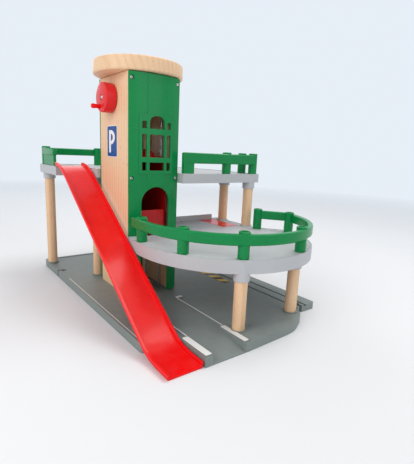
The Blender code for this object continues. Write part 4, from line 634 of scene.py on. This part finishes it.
class GARAGE_OT_screws(bpy.types.Operator):
    """Make the pan heads of the shell screws, each with a cross recess"""

    bl_idname = "garage.screws"
    bl_label = "Screws"

    def execute(self, context):
        metal = steel("Zinc screw", 0.24)
        for number, name in enumerate(SCREWS):
            low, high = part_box(name)
            facing = -1 if "front" in name else 1
            outer, tip = (low.y, high.y) if facing < 0 else (high.y, low.y)
            seat = outer - facing * SCREW_HEAD_HEIGHT
            work = self.screw((high.x - low.x) / 2, abs(tip - seat))
            turn = Matrix.Rotation(0.4 * number, 3, "Z")
            bmesh.ops.rotate(work, cent=(0, 0, 0), matrix=turn, verts=work.verts)
            tip_over = Vector((0, 0, 1)).rotation_difference(Vector((0, facing, 0))).to_matrix()
            bmesh.ops.rotate(work, cent=(0, 0, 0), matrix=tip_over, verts=work.verts)
            place = ((low.x + high.x) / 2, seat, (low.z + high.z) / 2)
            bmesh.ops.translate(work, vec=place, verts=work.verts)
            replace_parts(piece("headed_" + name, work, metal, "garage"), name)
        return {"FINISHED"}

    def screw(self, radius, depth):
        """A screw along the Z axis: its head stands on the ground plane, and its shank points down."""
        head = [
            (0.0, SCREW_HEAD_HEIGHT),
            (radius * 0.45, SCREW_HEAD_HEIGHT),
            (radius * 0.8, SCREW_HEAD_HEIGHT * 0.75),
            (radius, SCREW_HEAD_HEIGHT * 0.375),
            (radius, 0.0),
        ]
        shank = radius * 0.42
        work = revolved([*head, (shank, 0.0), (shank, 0.001 - depth), (0.0, -depth)], steps=24)
        self.recess(work, radius)
        return work

    def recess(self, work, radius):
        """Sink the head's middle and pull four of its spokes down to make a cross."""
        for vert in work.verts:
            out = math.hypot(vert.co.x, vert.co.y)
            if vert.co.z > SCREW_HEAD_HEIGHT - 0.0001 and out < radius * 0.5:
                spoke = abs(math.sin(2 * math.atan2(vert.co.y, vert.co.x)))
                if out < radius * 0.1 or spoke < 0.3:
                    vert.co.z -= SCREW_RECESS


class GARAGE_OT_crank(bpy.types.Operator):
    """Dress the crank wheel and turn its knob"""

    bl_idname = "garage.crank"
    bl_label = "Crank"

    def execute(self, context):
        red = plastic("Crank plastic", "crank", 0.30, flow=0.03, spark=0.05, coat=0.1)
        smoothed("crank_wheel", red)
        low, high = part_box("crank_knob")
        work = revolved(self.knob_profile((high.z - low.z) / 2, high.x - low.x), steps=32)
        turn = Matrix.Rotation(-math.pi / 2, 3, "Y")
        bmesh.ops.rotate(work, cent=(0, 0, 0), matrix=turn, verts=work.verts)
        place = (high.x, (low.y + high.y) / 2, (low.z + high.z) / 2)
        bmesh.ops.translate(work, vec=place, verts=work.verts)
        knob = plastic("Knob plastic", "red", 0.28, spark=0.04, coat=0.1)
        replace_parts(piece("turned_knob", work, knob, "crank"), "crank_knob")
        return {"FINISHED"}

    def knob_profile(self, radius, depth):
        """The knob's outline from its domed end over its waist to its tang in the wheel."""
        collar = depth * 0.335
        dome = [
            (0.0, depth),
            (radius * 0.55, depth - 0.0002),
            (radius * 0.85, depth - 0.0009),
            (radius, depth - 0.0024),
        ]
        waist = [
            (radius * 0.86, depth * 0.55),
            (radius * 0.84, depth * 0.40),
            (radius * 0.90, depth * 0.28),
        ]
        tang = [(radius, collar), (radius * 0.6, collar - 0.0002), (radius * 0.6, 0.0), (0.0, 0.0)]
        return [*dome, *waist, *tang]


class GARAGE_OT_cord(bpy.types.Operator):
    """Lay the twisted lift cord round both pulleys"""

    bl_idname = "garage.cord"
    bl_label = "Lift cord"

    def execute(self, context):
        low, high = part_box("lift_cord")
        radius = (high.x - low.x) / 2
        curve = bpy.data.curves.new("cord_loop", "CURVE")
        curve.dimensions = "3D"
        curve.bevel_depth = radius * 0.98
        curve.bevel_resolution = 3
        points = self.loop(low, high, radius, 16)
        spline = curve.splines.new("POLY")
        spline.points.add(len(points) - 1)
        for point, (y, z) in zip(spline.points, points):
            point.co = ((low.x + high.x) / 2, y, z, 1.0)
        spline.use_cyclic_u = True
        holder = bpy.data.objects.new("cord_path", curve)
        bpy.context.scene.collection.objects.link(holder)
        graph = bpy.context.evaluated_depsgraph_get()
        work = bmesh.new()
        work.from_mesh(bpy.data.meshes.new_from_object(holder.evaluated_get(graph)))
        bpy.data.objects.remove(holder, do_unlink=True)
        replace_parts(piece("twisted_cord", work, yarn("Cord yarn"), "garage"), "lift_cord")
        return {"FINISHED"}

    def loop(self, low, high, radius, steps):
        """Y and Z of the cord's middle: over the upper pulley and back under the lower one."""
        middle = (low.y + high.y) / 2
        reach = (high.y - low.y) / 2 - radius
        points = []
        for height, start in ((high.z - radius - reach, 0.0), (low.z + radius + reach, math.pi)):
            for i in range(steps + 1):
                angle = start + math.pi * i / steps
                points.append((middle + reach * math.cos(angle), height + reach * math.sin(angle)))
        return points


class GARAGE_OT_cab(bpy.types.Operator):
    """Dress the lift cab, its roof and its folding gate"""

    bl_idname = "garage.cab"
    bl_label = "Lift cab"

    def execute(self, context):
        dark = plastic("Cab plastic", "cab", 0.30, flow=0.04, spark=0.05, coat=0.1)
        for name in ("lift_cab", "cab_roof"):
            smoothed(name, dark)
        gate = plastic("Gate plastic", "cab", 0.24, flow=0.03, spark=0.04, coat=0.4)
        smoothed("cab_gate", gate)
        return {"FINISHED"}


class GARAGE_OT_decks(bpy.types.Operator):
    """Dress the two decks, the base, the ramp and the drop hatch"""

    bl_idname = "garage.decks"
    bl_label = "Decks and ramp"

    def execute(self, context):
        deck = plastic("Deck plastic", "deck", 0.44, flow=0.025, spark=0.16, dust=0.05)
        for name in DECKS:
            smoothed(name, deck, 24.0)
        road = plastic("Road plastic", "road", 0.50, flow=0.05, spark=0.22, dust=0.08)
        smoothed("base_plate", road, 24.0)
        red = plastic("Ramp plastic", "red", 0.24, flow=0.03, spark=0.03, dust=0.02, coat=0.12)
        smoothed("ramp", red, 24.0)
        smoothed("drop_hatch", red, 24.0)
        return {"FINISHED"}


class GARAGE_OT_sign(bpy.types.Operator):
    """Put the parking sign on the left board: white border, blue ground and a plain white letter"""

    bl_idname = "garage.sign"
    bl_label = "Parking sign"

    def execute(self, context):
        centre = Vector((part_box("tower_side_left")[0].x, *SIGN_PLACE))
        wide, tall, thick = sizes().sign_width, sizes().sign_height, sizes().sign_thick
        white = plastic("Sign white", "white", 0.30, flow=0.01, spark=0.02, dust=0.0)
        blue = plastic("Sign blue", "sign", 0.30, flow=0.02, spark=0.02, dust=0.0)
        self.plate("sign_border", centre, (thick, wide, tall), SIGN_ROUNDING, 0.0, white)
        ground = (thick * 0.5, wide - 2 * SIGN_BORDER, tall - 2 * SIGN_BORDER)
        self.plate("sign_ground", centre, ground, SIGN_ROUNDING - 0.001, thick * 0.9, blue)
        for name, work in (("sign_stem", self.stem()), ("sign_bowl", self.bowl())):
            bmesh.ops.translate(work, vec=centre - Vector((thick * 1.3, 0.0, 0.0)), verts=work.verts)
            piece(name, work, white, "garage")
        return {"FINISHED"}

    def plate(self, name, centre, size, rounding, start, material):
        """A rounded plate whose back stands off the board by start."""
        work = rounded_plate(size, rounding, 5, 0)
        bmesh.ops.translate(work, vec=centre - Vector((start + size[0] / 2, 0.0, 0.0)), verts=work.verts)
        return piece(name, work, material, "garage")

    def stem(self):
        """The letter's upright. It reads from the left of the tower, so its left is towards +Y."""
        work = bmesh.new()
        bmesh.ops.create_cube(work, size=1.0)
        bmesh.ops.scale(work, vec=(LETTER_THICK, STEM_WIDTH, LETTER_HEIGHT), verts=work.verts)
        bmesh.ops.translate(work, vec=(0.0, STEM_EDGE + STEM_WIDTH / 2, 0.0), verts=work.verts)
        return work

    def bowl(self):
        """The letter's half ring, spun round the X axis and stretched towards the letter's right."""
        work = bmesh.new()
        half, inner = LETTER_THICK / 2, BOWL_REACH - BOWL_STROKE
        corners = [(half, inner), (-half, inner), (-half, BOWL_REACH), (half, BOWL_REACH)]
        ring = [work.verts.new((x, 0.0, z)) for x, z in corners]
        face = work.faces.new(ring)
        bmesh.ops.spin(
            work, geom=[face, *face.edges, *ring], cent=(0, 0, 0), axis=(1, 0, 0), angle=math.pi, steps=24
        )
        bulge = min(vert.co.y for vert in work.verts) < -BOWL_REACH / 2
        stretch = BOWL_STRETCH if bulge else -BOWL_STRETCH
        bmesh.ops.scale(work, vec=(1.0, stretch, 1.0), verts=work.verts)
        place = (0.0, STEM_EDGE, LETTER_HEIGHT / 2 - BOWL_REACH)
        bmesh.ops.translate(work, vec=place, verts=work.verts)
        return work


class GARAGE_OT_lines(bpy.types.Operator):
    """Print the warning stripes, and lay white painted highlight strips on the base's kerb tops, block tops
    and left edge
    """

    bl_idname = "garage.lines"
    bl_label = "Printed stripes and painted highlights"

    def execute(self, context):
        self.strip("warning_band", *WARNING_BAND, warning_print("Warning print"))
        # The white strips are painted highlights: they stand for light catching the kerb and block tops and
        # the base's left edge
        white = plastic("Painted highlight white", "white", 0.42, flow=0.02, spark=0.05, dust=0.05)
        for name, (x, y, surface) in PAINTED_HIGHLIGHT_STRIPS.items():
            self.strip(name, x, y, surface, white)
        return {"FINISHED"}

    def strip(self, name, x, y, surface, material):
        """A thin strip with rounded corners that lies on a surface. It serves for the printed warning band
        and for the white painted highlight strips.
        """
        thick = sizes().line_thick
        wide = x[1] - x[0]
        work = rounded_plate((wide, y[1] - y[0], thick), min(LINE_ROUNDING, wide * 0.45), 4, 2)
        middle = ((x[0] + x[1]) / 2, (y[0] + y[1]) / 2, surface + thick / 2)
        bmesh.ops.translate(work, vec=middle, verts=work.verts)
        return piece(name, work, material, "garage")


class GARAGE_OT_stage(bpy.types.Operator):
    """Set the floor, the lights and the camera"""

    bl_idname = "garage.stage"
    bl_label = "Stage"

    def execute(self, context):
        scene = context.scene
        scene.view_settings.view_transform = "Standard"
        self.floor()
        self.world()
        for name, settings in LAMPS.items():
            self.lamp(name, *settings)
        self.camera()
        return {"FINISHED"}

    def floor(self):
        """A wide pale floor that fades into the backdrop with distance."""
        work = bmesh.new()
        bmesh.ops.create_grid(work, x_segments=1, y_segments=1, size=FLOOR_SIZE)
        mesh = bpy.data.meshes.new("floor")
        work.to_mesh(mesh)
        work.free()
        material, tree, surface = shader("Floor paper", (0.80, 0.81, 0.83, 1.0), 0.9)
        distance = tree.node("ShaderNodeVectorMath", {0: object_vector(tree)}, operation="LENGTH")
        fade = tree.span(distance.outputs["Value"], *FLOOR_FADE)
        gone = tree.node("ShaderNodeBsdfTransparent")
        blended = tree.node("ShaderNodeMixShader", {0: fade, 1: surface.outputs[0], 2: gone.outputs[0]})
        output = material.node_tree.nodes["Material Output"]
        tree.link(blended.outputs[0], output.inputs["Surface"])
        mesh.materials.append(material)
        obj = bpy.data.objects.new("floor", mesh)
        bpy.context.scene.collection.objects.link(obj)

    def world(self):
        """An even pale world, seen as a light backdrop."""
        world = bpy.data.worlds.new("Studio")
        world.use_nodes = True
        tree = Tree(world.node_tree)
        nodes = world.node_tree.nodes
        plain = nodes["Background"]
        plain.inputs["Color"].default_value = (0.93, 0.96, 1.0, 1.0)
        plain.inputs["Strength"].default_value = WORLD_STRENGTH
        seen = tree.node("ShaderNodeBackground", {"Color": (0.80, 0.86, 0.93, 1.0), "Strength": 1.0})
        path = tree.node("ShaderNodeLightPath")
        mirrored = tree.maths("MAXIMUM", path.outputs["Is Glossy Ray"], path.outputs["Is Transmission Ray"])
        direct = tree.maths("MAXIMUM", path.outputs["Is Camera Ray"], mirrored)
        mixed = tree.node("ShaderNodeMixShader", {0: direct, 1: plain.outputs[0], 2: seen.outputs[0]})
        tree.link(mixed.outputs[0], nodes["World Output"].inputs["Surface"])
        bpy.context.scene.world = world

    def lamp(self, name, place, size, power, tint):
        """A soft square lamp aimed at the garage."""
        data = bpy.data.lights.new(name, "AREA")
        data.shape = "SQUARE"
        data.size = size
        data.energy = power
        data.color = tint
        obj = bpy.data.objects.new(name, data)
        obj.location = place
        aim = LAMP_AIM - Vector(place)
        obj.rotation_euler = aim.to_track_quat("-Z", "Y").to_euler()
        bpy.context.scene.collection.objects.link(obj)

    def camera(self):
        """A camera at the photograph's viewing angle."""
        data = bpy.data.cameras.new("Camera")
        data.sensor_width = SENSOR
        data.lens = FOCAL_PIXELS / LONG_SIDE_PIXELS * SENSOR
        data.dof.use_dof = False
        yaw, pitch = CAMERA_YAW, CAMERA_PITCH
        ahead = Vector((math.sin(yaw) * math.cos(pitch), math.cos(yaw) * math.cos(pitch), -math.sin(pitch)))
        level = Vector((math.cos(yaw), -math.sin(yaw), 0.0))
        raised = level.cross(ahead)
        right = level * math.cos(CAMERA_ROLL) + raised * math.sin(CAMERA_ROLL)
        up = raised * math.cos(CAMERA_ROLL) - level * math.sin(CAMERA_ROLL)
        turn = Matrix((right, up, -ahead)).transposed()
        obj = bpy.data.objects.new("Camera", data)
        obj.matrix_world = Matrix.Translation(CAMERA_PLACE) @ turn.to_4x4()
        bpy.context.scene.collection.objects.link(obj)
        bpy.context.scene.camera = obj


class GARAGE_PT_panel(bpy.types.Panel):
    """The garage's settings and steps"""

    bl_label = "Toy Parking Garage"
    bl_idname = "GARAGE_PT_panel"
    bl_space_type = "VIEW_3D"
    bl_region_type = "UI"
    bl_category = "Garage"

    def draw(self, context):
        for group in (context.scene.garage_sizes, context.scene.garage_colours):
            for key in group.bl_rna.properties.keys():
                if key not in ("rna_type", "name"):
                    self.layout.prop(group, key)
        for step in STEPS:
            self.layout.operator(step.bl_idname)


STEPS = (
    GARAGE_OT_finishes,
    GARAGE_OT_tower,
    GARAGE_OT_lid,
    GARAGE_OT_pillars,
    GARAGE_OT_screws,
    GARAGE_OT_crank,
    GARAGE_OT_cord,
    GARAGE_OT_cab,
    GARAGE_OT_decks,
    GARAGE_OT_sign,
    GARAGE_OT_lines,
    GARAGE_OT_stage,
)
CLASSES = (GarageColours, GarageSizes, *STEPS, GARAGE_PT_panel)


def register():
    """Register the settings, the steps and the panel."""
    for cls in CLASSES:
        bpy.utils.register_class(cls)
    bpy.types.Scene.garage_colours = PointerProperty(type=GarageColours)
    bpy.types.Scene.garage_sizes = PointerProperty(type=GarageSizes)


def unregister():
    """Remove what register added."""
    del bpy.types.Scene.garage_sizes
    del bpy.types.Scene.garage_colours
    for cls in reversed(CLASSES):
        bpy.utils.unregister_class(cls)


def main():
    """Build every step."""
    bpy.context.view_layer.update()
    register()
    for step in STEPS:
        group, name = step.bl_idname.split(".")
        getattr(getattr(bpy.ops, group), name)()


if __name__ == "__main__":
    main()
